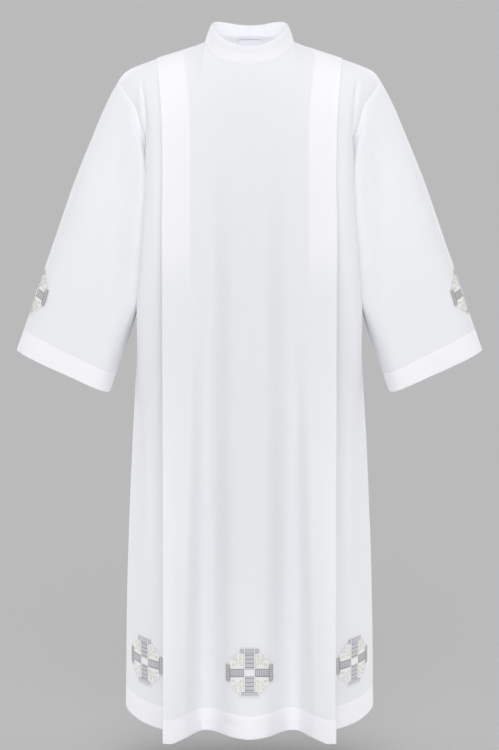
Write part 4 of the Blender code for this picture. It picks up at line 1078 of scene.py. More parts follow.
labels = {}
for name, place in LABELS.items():
    grid = label_grid(*place)
    labels[name] = cloth_piece(name + "_tape", grid, 1.0, 1.0, LABEL_WALL)
    cuts[name] = cut_of(grid)
print({name: cuts[name] for name in LABELS})

# %% The strip under the left shoulder seam
STRIP_FROM_X, STRIP_TO_X, STRIP_HALF_WIDTH = 0.0960, 0.2010, 0.0105
STRIP_BELOW, STRIP_SLOPE, RIDGE_ROUND = 0.0032, 0.60, 1e-6
strip_x, strip_y = np.meshgrid(
    np.linspace(STRIP_FROM_X, STRIP_TO_X, 40), np.linspace(STRIP_HALF_WIDTH, -STRIP_HALF_WIDTH, 9)
)
strip_z = seam_height(strip_x) - STRIP_BELOW - STRIP_SLOPE * np.sqrt(strip_y**2 + RIDGE_ROUND)
placket_grid = np.stack([strip_x, strip_y, strip_z], axis=-1)
placket = cloth_piece("placket_cloth", placket_grid, 1.0, 1.0)
cuts["placket"] = cut_of(placket_grid)
print(f"strip: cut {cuts['placket'][0]} m")

# %% [markdown]
# ## The finish of the cloth
#
# The cloth is a plain weave of fine, matt yarn. Its colour comes from the "layers" number,
# which paints into it the shade that shows through a single layer. The weave is a bump of two
# crossing sets of threads, read from the UV map in metres. A picture of a weave would do too, but
# it would blur close up, and this can't. Roughness and sheen are set on the shader itself.


# %% A plain finish
SHEEN_ROUGHNESS, SHINE = 0.5, 0.25


def new_material(name, colour, roughness, sheen):
    """A new material with its node tree and its shader."""
    made = bpy.data.materials.new(name)
    made.use_nodes = True
    shader = made.node_tree.nodes["Principled BSDF"]
    shader.inputs["Base Color"].default_value = (*colour, 1.0)
    shader.inputs["Roughness"].default_value = roughness
    shader.inputs["Sheen Weight"].default_value = sheen
    shader.inputs["Sheen Roughness"].default_value = SHEEN_ROUGHNESS
    shader.inputs["Specular IOR Level"].default_value = SHINE
    return made, made.node_tree, shader


print(f"specular level {SHINE}, sheen roughness {SHEEN_ROUGHNESS}")


# %% Node helpers
NOISE_DETAIL = 2.0


def math_node(tree, operation, first, second=None):
    """One operation on one or two values, each a socket or a number."""
    node = tree.nodes.new("ShaderNodeMath")
    node.operation = operation
    for socket, value in zip(node.inputs, (first, second)):
        if value is None:
            continue
        if isinstance(value, (int, float)):
            socket.default_value = value
        else:
            tree.links.new(value, socket)
    return node.outputs[0]


def mixed(tree, factor, first, second):
    """A colour between two, each a socket or three numbers."""
    node = tree.nodes.new("ShaderNodeMix")
    node.data_type = "RGBA"
    tree.links.new(factor, node.inputs["Factor"])
    for socket, value in zip((node.inputs[6], node.inputs[7]), (first, second)):
        if isinstance(value, tuple):
            socket.default_value = (*value, 1.0)
        else:
            tree.links.new(value, socket)
    return node.outputs[2]


def noise(tree, scale):
    """Soft noise by the place in space."""
    node = tree.nodes.new("ShaderNodeTexNoise")
    node.inputs["Scale"].default_value = scale
    node.inputs["Detail"].default_value = NOISE_DETAIL
    place = tree.nodes.new("ShaderNodeNewGeometry")
    tree.links.new(place.outputs["Position"], node.inputs["Vector"])
    return node.outputs[0]


print(f"the noise has a detail of {NOISE_DETAIL:g}")


# %% A woven bump
def bumped(tree, shader, height, distance):
    """Gives a shader relief: height 0 to 1 stands for distance metres."""
    bump = tree.nodes.new("ShaderNodeBump")
    bump.inputs["Strength"].default_value = 1.0
    bump.inputs["Distance"].default_value = distance
    tree.links.new(height, bump.inputs["Height"])
    tree.links.new(bump.outputs[0], shader.inputs["Normal"])


def uv_axes(tree, name):
    """Sockets of a UV map's two axes."""
    uv = tree.nodes.new("ShaderNodeUVMap")
    uv.uv_map = name
    apart = tree.nodes.new("ShaderNodeSeparateXYZ")
    tree.links.new(uv.outputs[0], apart.inputs[0])
    return apart.outputs[0], apart.outputs[1]


def weave_height(tree, pitch):
    """Crossing threads over and under, from the UV map in metres."""
    warp, weft = (math_node(tree, "MULTIPLY", axis, 2 * math.pi / pitch) for axis in uv_axes(tree, "cloth"))
    both = math_node(tree, "MULTIPLY", math_node(tree, "SINE", warp), math_node(tree, "SINE", weft))
    # The node also adds its third number, which is 0.5 as long as nobody sets it.
    return math_node(tree, "MULTIPLY_ADD", both, 0.5)


WEAVE_PITCH, TAPE_PITCH = 0.00045, 0.0004  # over which the weave repeats
print(f"repeats a centimetre: {0.01 / WEAVE_PITCH:.0f} in the weave, {0.01 / TAPE_PITCH:.0f} in the tape")

# %% The white cloth
# Single cloth is painted greyer: the shade that shows through one layer is painted into its colour.
SINGLE_CLOTH_PAINTED_SHADE = (0.838, 0.846, 0.876)
DOUBLE_CLOTH = (0.906, 0.906, 0.944)
COOL_SHADE, SHADE_SIZE, SHADE_SHARE = (0.74, 0.76, 0.82), 14.0, 0.06  # faint, uneven patches
WEAVE_RELIEF = 0.00006
white_cloth, tree, shader = new_material("white_cloth_weave", SINGLE_CLOTH_PAINTED_SHADE, 0.80, 0.30)
layers_node = tree.nodes.new("ShaderNodeAttribute")
layers_node.attribute_name = "layers"
# Mixing by "layers" paints the shade of single cloth into the colour, and leaves double cloth whiter.
shade_painted_by_layers = mixed(tree, layers_node.outputs["Fac"], SINGLE_CLOTH_PAINTED_SHADE, DOUBLE_CLOTH)
shade = math_node(tree, "MULTIPLY", noise(tree, SHADE_SIZE), SHADE_SHARE)
cooler = mixed(tree, shade, shade_painted_by_layers, COOL_SHADE)
tree.links.new(cooler, shader.inputs["Base Color"])
bumped(tree, shader, weave_height(tree, WEAVE_PITCH), WEAVE_RELIEF)
for piece in (front, back, sleeve_left, sleeve_right, collar, placket):
    piece.data.materials.append(white_cloth)
print(f"two layers are {DOUBLE_CLOTH[1] / SINGLE_CLOTH_PAINTED_SHADE[1]:.2f} times as bright as one")

# %% The woven label tape
TAPE, TAPE_RIB = (0.82, 0.84, 0.88), (0.56, 0.60, 0.68)
RIB_PITCH, RIB_FROM, RIB_SHARE = 0.0042, 0.55, 0.30  # how far apart, how narrow and how dark
TAPE_RELIEF = 0.00005
label_tape, tree, shader = new_material("label_tape", TAPE, 0.55, 0.05)
down = uv_axes(tree, "cloth")[1]
ribs = math_node(tree, "SINE", math_node(tree, "MULTIPLY", down, 2 * math.pi / RIB_PITCH))
faint = math_node(tree, "MULTIPLY", math_node(tree, "GREATER_THAN", ribs, RIB_FROM), RIB_SHARE)
tree.links.new(mixed(tree, faint, TAPE, TAPE_RIB), shader.inputs["Base Color"])
bumped(tree, shader, weave_height(tree, TAPE_PITCH), TAPE_RELIEF)
for piece in labels.values():
    piece.data.materials.append(label_tape)
print(f"ribs {RIB_PITCH * 1000:.1f} mm apart on {len(labels)} labels")

# %% [markdown]
# ## A thread as a thin tube
#
# Five crosses are worked on the robe, each of some hundreds of stitches. Painted lines would look
# flat as soon as light falls across them. So a stitch here is a tube of five sides. It is first
# drawn on a flat plan, as on an embroiderer's chart: p across, q up, and a height over the cloth.
# Packed stitches press each other flat, so the tube is only half as high as it is wide.
# `laid` then puts the plan on the curved cloth, and `thread_piece` makes one mesh of many tubes.

# %% From the chart to the cloth
PLAN_REACH, PLAN_STEPS = 0.052, 53
PRESSED_THREAD = 0.5  # height of a thread over its width
plan = np.linspace(-PLAN_REACH, PLAN_REACH, PLAN_STEPS)


def laid(ground, chart):
    """Points in space of chart points (p, q, height), read off a ground of points and normals."""
    at = np.clip((chart[..., :2] / PLAN_REACH + 1) / 2 * (PLAN_STEPS - 1), 0, PLAN_STEPS - 1.001)
    cell = at.astype(int)
    part = at - cell
    c, r = cell[..., 0], cell[..., 1]
    u, v = part[..., 0:1], part[..., 1:2]
    top = ground[r + 1, c] * (1 - u) + ground[r + 1, c + 1] * u
    low = ground[r, c] * (1 - u) + ground[r, c + 1] * u
    both = low * (1 - v) + top * v
    return both[..., :3] + unit(both[..., 3:]) * chart[..., 2:3], unit(both[..., 3:])


print(f"the plan has a point every {(plan[1] - plan[0]) * 1000:.0f} mm")


# %% Tubes of thread
def tubes(paths, normals, radius, sides=5):
    """Vertices, faces and UVs of tubes along paths of shape (how many, points, 3)."""
    count, points = paths.shape[:2]
    ahead = np.gradient(paths, axis=1)
    across = unit(np.cross(normals, ahead))
    upright = unit(np.cross(ahead, across))
    turn = np.linspace(0, 2 * math.pi, sides, endpoint=False)[:, None]
    ring = across[:, :, None] * np.cos(turn) + upright[:, :, None] * np.sin(turn) * PRESSED_THREAD
    vertices = (paths[:, :, None] + ring * radius).reshape(-1, 3)
    n, k, s = np.meshgrid(np.arange(count), np.arange(points - 1), np.arange(sides), indexing="ij")
    base, nxt = (n * points + k) * sides, (n * points + k + 1) * sides
    faces = np.stack([base + s, base + (s + 1) % sides, nxt + (s + 1) % sides, nxt + s], axis=-1)
    step = np.linalg.norm(np.diff(paths, axis=1), axis=2)
    along = np.concatenate([np.zeros((count, 1)), np.cumsum(step, axis=1)], axis=1)
    u = np.stack([along[n, k], along[n, k], along[n, k + 1], along[n, k + 1]], axis=-1)
    v = np.stack([s, s + 1, s + 1, s], axis=-1) / sides
    return vertices, faces.reshape(-1, 4), np.stack([u, v], axis=-1).reshape(-1, 2)


def thread_piece(name, batches, materials):
    """One mesh of many tubes: each batch is (paths, normals, radius, index of its material)."""
    vertices, faces, uvs, slots, start = [], [], [], [], 0
    for paths, normals, radius, slot in batches:
        made, face, uv = tubes(paths, normals, radius)
        vertices.append(made)
        faces.append(face + start)
        uvs.append(uv)
        slots.append(np.full(len(face), slot))
        start += len(made)
    mesh = bpy.data.meshes.new(name)
    mesh.from_pydata(np.concatenate(vertices).tolist(), [], np.concatenate(faces).tolist())
    mesh.uv_layers.new(name="thread").data.foreach_set("uv", np.concatenate(uvs).reshape(-1))
    for material in materials:
        mesh.materials.append(material)
    mesh.polygons.foreach_set("material_index", np.concatenate(slots).astype(np.int32))
    mesh.polygons.foreach_set("use_smooth", [True] * len(mesh.polygons))
    piece = bpy.data.objects.new(name, mesh)
    collection.objects.link(piece)
    return piece


print(f"a thread is {PRESSED_THREAD:g} times as high as wide")

# %% [markdown]
# ## Five threads
#
# Rayon embroidery thread shines along its length and is twisted from two plies. The twist is a
# bump that runs slantwise round each tube, from the UV map: metres along, turns around.

# %% The thread's finish
TWIST, PLY_RELIEF = 0.0011, 0.00005  # one full turn of the plies, and how far they stand out
DULL, UNEVEN_SIZE, UNEVEN_SHARE = 0.88, 900.0, 0.15


def thread_finish(name, colour, roughness, sheen):
    """The finish of one colour of thread, with its two plies."""
    made, tree, shader = new_material(name, colour, roughness, sheen)
    along, around = uv_axes(tree, "thread")
    turns = math_node(tree, "ADD", math_node(tree, "DIVIDE", along, TWIST), around)
    plies = math_node(tree, "SINE", math_node(tree, "MULTIPLY", turns, 2 * 2 * math.pi))
    bumped(tree, shader, plies, PLY_RELIEF)
    dull = tuple(DULL * channel for channel in colour)
    uneven = math_node(tree, "MULTIPLY", noise(tree, UNEVEN_SIZE), UNEVEN_SHARE)
    tree.links.new(mixed(tree, uneven, colour, dull), shader.inputs["Base Color"])
    return made


threads = [
    thread_finish("silver_thread_dark", (0.340, 0.345, 0.360), 0.42, 0.1),
    thread_finish("silver_thread_pale", (0.660, 0.670, 0.700), 0.40, 0.1),
    thread_finish("ecru_thread", (0.670, 0.640, 0.575), 0.50, 0.2),
    thread_finish("white_thread", (0.985, 0.985, 0.995), 0.50, 0.5),
    thread_finish("cream_thread", (0.995, 0.992, 0.982), 0.55, 0.5),
]
DARK, PALE, ECRU, WHITE, CREAM = range(len(threads))
print("threads:", ", ".join(finish.name for finish in threads))

# %% [markdown]
# ## The chart of a cross
#
# It is a cross potent, the plain cross with a bar at each end that altar linen has carried for
# centuries. It lies on a disc of cream thread. The upright has white borders and dark rungs. The
# beam has dark rails and closer rungs. The four corners hold small drops and loops in ecru. Satin
# stitch is just many parallel threads side by side, so one function makes every filled shape.

# %% Kinds of stitch
THREAD = 0.00034  # half of a thread's width
PITCH = 0.00056
SATIN_LOW, SATIN_HIGH = 0.00020, 0.00075  # a stitch's height over the cloth at its ends and its middle
LANE_UNEVEN, LANE_BEAT = 0.00004, 91000.0  # so that no two stitches side by side are equally high
CORD_STEP, CORD_HEIGHT = 0.0016, 0.0008


def satin(p_range, q_range, along, pitch=PITCH, high=SATIN_HIGH, points=6):
    """Parallel stitches that fill an upright rectangle: along "p" they run across, along "q" up."""
    (a, b), (c, d) = (p_range, q_range) if along == "p" else (q_range, p_range)
    lanes = np.arange(c + pitch / 2, d, pitch)[:, None]
    share = np.linspace(0, 1, points)[None]
    run = a + (b - a) * share + 0 * lanes
    lane = lanes + 0 * share
    bow = np.sin(math.pi * np.clip(share, 0.03, 0.97)) ** 0.5
    height = SATIN_LOW + (high - SATIN_LOW) * bow + LANE_UNEVEN * np.sin(lanes * LANE_BEAT)
    first, second = (run, lane) if along == "p" else (lane, run)
    return np.stack([first, second, height], axis=-1)


def cord(points, height=CORD_HEIGHT, step=CORD_STEP):
    """One long thread along a line of chart points, with evenly spaced points."""
    points = np.asarray(points, float)
    along = walked_along(points)
    stops = np.linspace(0, along[-1], max(3, round(along[-1] / step)))
    path = read_off(points, along, stops)
    return np.concatenate([path, np.full((len(path), 1), height)], axis=1)[None]


def leaning(x, y, lean, middle):
    """Chart points turned by an angle and moved to their middle."""
    p = x * math.cos(lean) - y * math.sin(lean)
    q = x * math.sin(lean) + y * math.cos(lean)
    return np.stack([p, q], axis=-1) + np.asarray(middle)


def loop_of(middle, radius, stretch=1.0, start=0.0, end=2 * math.pi, lean=0.0):
    """Chart points of a round or oval loop, or of a part of one."""
    t = np.linspace(start, end, 24)
    return leaning(radius * np.cos(t), radius * stretch * np.sin(t), lean, middle)


def drop_of(middle, length, width, lean):
    """Chart points of a drop whose point leans to an angle."""
    t = np.linspace(0, 2 * math.pi, 26)
    return leaning(length / 2 * np.cos(t), width / 2 * np.sin(t) * np.sin(t / 2) ** 1.5, lean, middle)


print(f"a thread is {2000 * THREAD:.2f} mm wide, and the next one lies {1000 * PITCH:.2f} mm off")


# %% Sizes on the chart
ARM_END, BAR_IN, BAR_HALF = 0.0478, 0.0395, 0.0166  # the bar's outer and inner edge, and half its length
UPRIGHT, BEAM = 0.0088, 0.0073  # half widths
SQUARE_P, SQUARE_Q = 0.0098, 0.0064  # half sizes of the white square in the middle
BORDER = 0.0029  # width of the white border on each side of the upright
DISC = 0.0472  # radius of the cream disc
RAIL_HEIGHT, RUNG_HIGH, SQUARE_HIGH = 0.0009, 0.00095, 0.00085
FINE, THIN, THICK = 0.00030, 0.00036, 0.00042  # half widths of finer and thicker threads
RUNG_PITCH, BEAM_RUNG_PITCH, WHITE_PITCH = 0.00047, 0.00045, 0.00062
print(f"a cross is {2000 * ARM_END:.0f} mm wide on the chart")


# %% The disc and the upright
DISC_ROW, DISC_HEIGHT, DISC_THREAD = 0.0008, 0.00030, 0.00048
DISC_FROM_RIM, DISC_FROM_ARM, SHORTEST_ROW = 0.0006, 0.0004, 0.002
BORDER_OFF, BORDER_SHORT = 0.0001, 0.0008  # from the pale filling, and short of the bar
LINE_OFF, LINE_SHORT, LINE_THREAD = 0.0006, 0.0014, 0.00032  # the ecru line beside the border
RAIL_IN = 0.985  # the rail's place, as a share of the upright's half width
RUNGS, RUNG_SHIFT, RUNG_HALF = 4, 0.45, 0.0007


def worked(paths, thread, radius=THREAD):
    """A batch of the chart: its paths, the radius of its thread and which thread it is."""
    return paths, radius, thread


def cream_disc():
    """The cream ground, in rows that stop at the arms and at the rim."""
    rows = []
    inner = UPRIGHT + BORDER + DISC_FROM_ARM
    for q in np.arange(-DISC + DISC_FROM_RIM, DISC, DISC_ROW):
        edge = math.sqrt(DISC**2 - q**2)
        if abs(q) <= BEAM or edge - inner < SHORTEST_ROW:
            continue
        for side in (-1, 1):
            ps = side * (inner + (edge - inner) * np.linspace(0, 1, 9))
            rows.append([(p, q, DISC_HEIGHT) for p in ps])
    return [worked(np.array(rows), CREAM, DISC_THREAD)]


def half_upright(way):
    """The upright above (way 1) or below the middle: pale filling, white borders, dark rungs."""
    near, far = way * SQUARE_Q, way * BAR_IN
    parts = [worked(satin((-UPRIGHT, UPRIGHT), sorted((near, far)), "p"), PALE)]
    for side in (-1, 1):
        border = sorted((side * (UPRIGHT + BORDER_OFF), side * (UPRIGHT + BORDER)))
        height = sorted((near, way * (BAR_IN - BORDER_SHORT)))
        parts.append(worked(satin(border, height, "p", WHITE_PITCH, points=4), WHITE, THICK))
        beside = side * (UPRIGHT + BORDER + LINE_OFF)
        line = cord([(beside, near + way * LINE_SHORT), (beside, far)])
        parts.append(worked(line, ECRU, LINE_THREAD))
        rail = side * UPRIGHT * RAIL_IN
        parts.append(worked(cord([(rail, near), (rail, far)]), DARK, FINE))
    for step in range(1, RUNGS + 1):
        q = near + (far - near) * (step - RUNG_SHIFT) / RUNGS
        rung = satin((-UPRIGHT, UPRIGHT), (q - RUNG_HALF, q + RUNG_HALF), "p", RUNG_PITCH, RUNG_HIGH)
        parts.append(worked(rung, DARK))
    return parts


print(f"{sum(len(paths) for paths, _, _ in cream_disc())} rows of thread in a disc")


# %% The beam and the bars at its ends
BEAM_START = 0.0012  # past the white square
OUTER_RAIL, INNER_RAIL_IN = 0.00044, 0.9  # half its width, and the inner rail's place on the beam
BEAM_RUNGS, FIRST_RUNG, RUNG_STEP, BEAM_RUNG_HALF = 7, 0.0020, 0.0043, 0.00055
DOUBLE_RAIL, BAR_RUNGS, BAR_RUNG_HALF = 0.0007, 8, 0.0005


def half_beam(way):
    """The beam right (way 1) or left of the middle: pale filling, dark rails, closer rungs."""
    near, far = way * SQUARE_P, way * BAR_IN
    start = near + way * BEAM_START
    parts = [worked(satin(sorted((start, far)), (-BEAM, BEAM), "q"), PALE)]
    for side in (-1, 1):
        for rail, radius in ((side * BEAM, OUTER_RAIL), (side * BEAM * INNER_RAIL_IN, FINE)):
            parts.append(worked(cord([(start, rail), (far, rail)], RAIL_HEIGHT), DARK, radius))
    for step in range(BEAM_RUNGS):
        p = near + way * (FIRST_RUNG + RUNG_STEP * step)
        across = (p - BEAM_RUNG_HALF, p + BEAM_RUNG_HALF)
        rung = satin(across, (-BEAM, BEAM), "q", BEAM_RUNG_PITCH, RUNG_HIGH)
        parts.append(worked(rung, DARK))
    return parts


def beam_bar(way):
    """The bar at one end of the beam: a pale filling, double rails and rungs."""
    inside, outside = way * BAR_IN, way * ARM_END
    across = sorted((inside, outside))
    parts = [worked(satin(across, (-BAR_HALF, BAR_HALF), "p", points=5), PALE)]
    for p in (inside, inside + way * DOUBLE_RAIL, outside, outside - way * DOUBLE_RAIL):
        parts.append(worked(cord([(p, -BAR_HALF), (p, BAR_HALF)], RAIL_HEIGHT), DARK, THICK))
    for q in np.linspace(-BAR_HALF, BAR_HALF, BAR_RUNGS):
        height = (q - BAR_RUNG_HALF, q + BAR_RUNG_HALF)
        rung = satin(across, height, "p", BEAM_RUNG_PITCH, RUNG_HIGH, points=5)
        parts.append(worked(rung, DARK))
    return parts


print(f"{len(half_beam(1))} batches in half the beam, {len(beam_bar(1))} in its bar")


# %% The bars at the top and the bottom
BAR_TIP = BAR_HALF + 0.0010
END_PART = 0.0116  # where the top bar's outer parts begin
WHITE_GAP = (0.0090, 0.0114)  # the white between its parts, from and to
TOP_RAIL_UP, TOP_RAIL = 0.0002, 0.00040
FOOT_NARROWER, FOOT_SHORTER, FOOT_LEAN = 0.0008, 0.0005, 0.0012


def top_bar():
    """The top bar is in three parts, with white between them."""
    parts = []
    for low, high in ((-BAR_TIP, -END_PART), (-UPRIGHT, UPRIGHT), (END_PART, BAR_TIP)):
        parts.append(worked(satin((low, high), (BAR_IN, ARM_END), "q", points=5), PALE))
        for q in (BAR_IN + TOP_RAIL_UP, ARM_END):
            parts.append(worked(cord([(low, q), (high, q)], RAIL_HEIGHT), DARK, TOP_RAIL))
        for p in (low, high):
            parts.append(worked(cord([(p, BAR_IN), (p, ARM_END)], RAIL_HEIGHT), DARK, THIN))
    for side in (-1, 1):
        gap = sorted(side * p for p in WHITE_GAP)
        white = satin(gap, (BAR_IN, ARM_END), "p", WHITE_PITCH, points=4)
        parts.append(worked(white, WHITE, THICK))
    return parts


def bottom_bar():
    """The bottom bar is one piece, and a little shorter at its foot."""
    half, foot = BAR_HALF - FOOT_NARROWER, -ARM_END + FOOT_SHORTER
    top = [(-BAR_HALF, -BAR_IN), (BAR_HALF, -BAR_IN)]
    parts = [worked(satin((-half, half), (foot, -BAR_IN), "q", points=5), PALE)]
    parts.append(worked(cord(top, RAIL_HEIGHT), DARK, THIN))
    for side in (-1, 1):
        end = [(side * BAR_HALF, -BAR_IN), (side * (BAR_HALF - FOOT_LEAN), -ARM_END)]
        parts.append(worked(cord(end, RAIL_HEIGHT), DARK, FINE))
    return parts


def white_square():
    return [worked(satin((-SQUARE_P, SQUARE_P), (-SQUARE_Q, SQUARE_Q), "p", high=SQUARE_HIGH), WHITE)]


print(f"{len(top_bar())} batches in the top bar, {len(bottom_bar())} in the bottom bar")

# %% The outline and the corners
DROPS = (  # middle, length, width and lean
    ((0.0235, 0.0235), 0.0120, 0.0110, 0.785),
    ((0.0178, 0.0330), 0.0075, 0.0060, 1.75),
    ((0.0325, 0.0165), 0.0075, 0.0060, -0.20),
)
RINGS = (((0.0315, 0.0275), 0.0022), ((0.0270, 0.0335), 0.0018), ((0.0160, 0.0165), 0.0020))
CURL = {"middle": (0.0165, 0.0230), "radius": 0.0055, "stretch": 0.8,
        "start": 0.6, "end": 3.4, "lean": 0.5}
DROP_THREAD, HEART_SHARE, HEART_THREAD, LOOP_THREAD = 0.00048, 0.5, 0.0004, 0.00045
OUTLINE_HEIGHT, OUTLINE_THREAD, HEART_HEIGHT, RING_STEP = 0.0006, 0.00038, 0.0007, 0.0010
BESIDE_BORDER, ABOVE_BEAM, ARC_IN = 0.001, 0.0011, 0.99


def outline():
    """A thin ecru line round the outside of every bar."""
    out, wide, back_in, cut = ARM_END + 0.0026, BAR_HALF + 0.0028, BAR_IN - 0.0006, 0.001
    line = np.array([
        (back_in, -wide), (out - cut, -wide), (out, -wide + cut),
        (out, wide - cut), (out - cut, wide), (back_in, wide),
    ])
    parts = []
    for turn in range(4):
        c, s = round(math.cos(turn * math.pi / 2)), round(math.sin(turn * math.pi / 2))
        turned_line = line @ np.array([[c, s], [-s, c]])
        parts.append(worked(cord(turned_line, OUTLINE_HEIGHT), ECRU, OUTLINE_THREAD))
    return parts


def corner(side, way):
    """Drops, rings, a curl and the rim between two arms of the cross."""
    def here(points):
        return np.asarray(points) * [side, way]

    from_arm = math.asin(BAR_TIP / DISC)
    arc = loop_of((0, 0), DISC, start=from_arm, end=math.pi / 2 - from_arm)
    parts = [worked(cord(here(arc * ARC_IN)), ECRU, THIN)]
    for middle, length, width, lean in DROPS:
        drop = drop_of(middle, length, width, lean)
        heart = drop_of(middle, length * HEART_SHARE, width * HEART_SHARE, lean)
        parts.append(worked(cord(here(drop)), ECRU, DROP_THREAD))
        parts.append(worked(cord(here(heart), HEART_HEIGHT), WHITE, HEART_THREAD))
    for middle, radius in RINGS:
        ring = here(loop_of(middle, radius))
        parts.append(worked(cord(ring, step=RING_STEP), ECRU, LOOP_THREAD))
    parts.append(worked(cord(here(loop_of(**CURL))), ECRU, LOOP_THREAD))
    beside = (UPRIGHT + BORDER + BESIDE_BORDER, BAR_IN)
    along_beam = np.array([(p, BEAM + ABOVE_BEAM) for p in beside])
    parts.append(worked(cord(here(along_beam)), ECRU, THICK))
    return parts


print(f"{len(corner(1, 1))} batches in each corner")

# %% The whole chart
chart = cream_disc()
for way in (-1, 1):
    chart += half_upright(way) + half_beam(way) + beam_bar(way)
chart += top_bar() + bottom_bar() + white_square() + outline()
for side in (-1, 1):
    for way in (-1, 1):
        chart += corner(side, way)
print(f"a cross: {sum(len(paths) for paths, _, _ in chart)} stitches")

# %% [markdown]
# ## Where the crosses lie
#
# Three lie in a row near the hem: one on the middle panel and one on each side panel. One more
# lies on the outer edge of each sleeve, bent round it. Level lines of the cloth carry the chart,
# and the nearest point of the creased cloth then sets its true place.

# %% Level lines of the cloth
CROSS_HEIGHT = -1.1985
HEM_CROSS_SIZE, SLEEVE_CROSS_SIZE = 0.965, 0.83  # a sleeve's cross is a little smaller
CROSS_SAG = 2.6  # how the cloth draws the arms of the middle cross down
SIDE_CROSS_SHARE, SIDE_CROSS_SLOPE, SLEEVE_CROSS_SHARE = 0.49, -0.0010, 0.7375
SIDE_CROSS_LOWER = 0.0050  # how far the side crosses lie below the middle one


def walked(line, start, distances):
    """Points of a line at some distances, one way and the other, from its point number start."""
    along = walked_along(line)
    return read_off(line, along, along[start] + distances)


def centre_line(q):
    """A level line of the middle panel, q above the cross's middle, and the number of its middle point."""
    height = CROSS_HEIGHT + q
    half = centre_strip(np.linspace(0.3, 1.0, 57), height)
    whole = np.concatenate([half, (half * [-1, 1])[-2::-1]])[::-1]
    hem = {name: FRONT_HEM[name] for name in CENTRE_HEM_STATIONS}
    level = float(hem_level(hem, CENTRE_HEM_STATIONS, np.array([1.0]), height)[0])
    return np.column_stack([whole, level - CROSS_SAG * whole[:, 0] ** 2]), 56


def side_line(q):
    """The same for a side panel."""
    hem = {name: FRONT_HEM[name] for name in SIDE_PANEL_STATIONS}
    shares = np.linspace(0.0, 1.0, 101)
    heights = CROSS_HEIGHT - SIDE_CROSS_LOWER + q - SIDE_CROSS_SLOPE * (shares - SIDE_CROSS_SHARE)
    points = []
    for share, height in zip(shares[::4], heights[::4]):
        here = np.array([share])
        level = float(hem_level(hem, SIDE_PANEL_STATIONS, here, height)[0])
        points.append([*side_strip(here, height)[0], level])
    return read_off(np.array(points), shares[::4], shares), round(SIDE_CROSS_SHARE * 100)


def sleeve_line(q):
    """The same for a sleeve, round its outer edge."""
    around = np.linspace(-1.6, 1.6, 161)
    return oval(SLEEVE_CROSS_SHARE - q / sleeve_length, around), 80


line, middle = centre_line(0.0)
print(f"the middle cross lies {(line[middle, 2] - FRONT_HEM['centre']) * 1000:.0f} mm above the hem")


# %% The ground under each cross
SEARCH = 0.02  # how far off the creased cloth is looked for
ROWS_ABOVE_CROSSES = 60  # rows of the hanging panel that no cross reaches


def tree_of(grid, ring=False):
    """A search tree over a grid's faces."""
    corner_row, corner_column = face_corners(grid, ring)
    columns = grid.shape[1]
    faces = corner_row * columns + corner_column % columns
    return BVHTree.FromPolygons(grid.reshape(-1, 3).tolist(), faces.tolist())


def ground_of(line_of, tree, outward):
    """Points and normals of the cloth under the plan, evened out a little."""
    points = np.array([walked(*line_of(q), plan) for q in plan])
    flat = points.reshape(-1, 3)
    for i in range(len(flat)):
        near = tree.find_nearest(Vector(flat[i]), SEARCH)
        if near[0] is not None:
            flat[i] = near[0]
    points = flat.reshape(points.shape)
    for _ in range(2):
        inner = points[1:-1, 1:-1]
        above, below = points[:-2, 1:-1], points[2:, 1:-1]
        before, after = points[1:-1, :-2], points[1:-1, 2:]
        points[1:-1, 1:-1] = (inner * 4 + above + below + before + after) / 8
    return np.concatenate([points, normals_of(points, outward)], axis=2)


side_columns = np.nonzero(strip_of_column == SIDE)[0]
centre_columns = np.nonzero(strip_of_column == CENTRE)[0]
above = len(YOKE_SHARES) + len(ARMHOLE_SHARES) + ROWS_ABOVE_CROSSES
hem_rows = slice(above, front_grid.shape[0])
mirror = front_grid.shape[1] - 1
middle_panel = front_grid[hem_rows, centre_columns[0] : mirror - centre_columns[0] + 1]
side_panel = front_grid[hem_rows, : side_columns[-1] + 1] * [-1, 1, 1]
grounds = {
    "cross_hem_centre": ground_of(centre_line, tree_of(middle_panel), -1.0),
    "cross_hem_left": ground_of(side_line, tree_of(side_panel), 1.0),
    "cross_sleeve_left": ground_of(sleeve_line, tree_of(sleeve_grid, True), 1.0),
}
print(f"each ground has {PLAN_STEPS} x {PLAN_STEPS} points")

# %% Work the crosses
crosses = {}
for name, ground in grounds.items():
    batches = []
    size = SLEEVE_CROSS_SIZE if "sleeve" in name else HEM_CROSS_SIZE
    for paths, radius, thread in chart:
        points, normals = laid(ground, paths * [size, size, 1])
        batches.append((points, normals, radius, thread))
    crosses[name] = thread_piece(name + "_thread", batches, threads)
    if name.endswith("left"):
        twin = name.replace("left", "right")
        batches = [(p * [-1, 1, 1], n * [-1, 1, 1], radius, thread) for p, n, radius, thread in batches]
        crosses[twin] = thread_piece(twin + "_thread", batches, threads)
for name, piece in crosses.items():
    print(f"{name}: {2 * len(piece.data.polygons)} triangles")

# %% [markdown]
# ## The rows of stitches
#
# The hem and the cuffs are turned up and sewn with one row of small stitches, each of them two to
# three millimetres long, and the cloth sinks a little along the row. A stitch is a thread like any
# other, so the helpers of the crosses make these too.

# %% Stitch the hem and the cuffs
STITCH, STITCH_GAP = 0.0024, 0.0010
STITCH_SHARES = np.array([0.0, 0.25, 0.75, 1.0])
STITCH_BOW = np.array([-0.00015, 0.00022, 0.00022, -0.00015])  # its height over the cloth at these
SEWING_THREAD = 0.00017


def running_stitches(line, normals):
    """Short stitches along a line of points, each bowed over the cloth and sunk at its ends."""
    along = walked_along(line)
    starts = np.arange(STITCH_GAP, along[-1] - STITCH, STITCH + STITCH_GAP)
    stops = starts[:, None] + STITCH * STITCH_SHARES
    out = unit(read_off(normals, along, stops))
    return read_off(line, along, stops) + out * STITCH_BOW[:, None], out


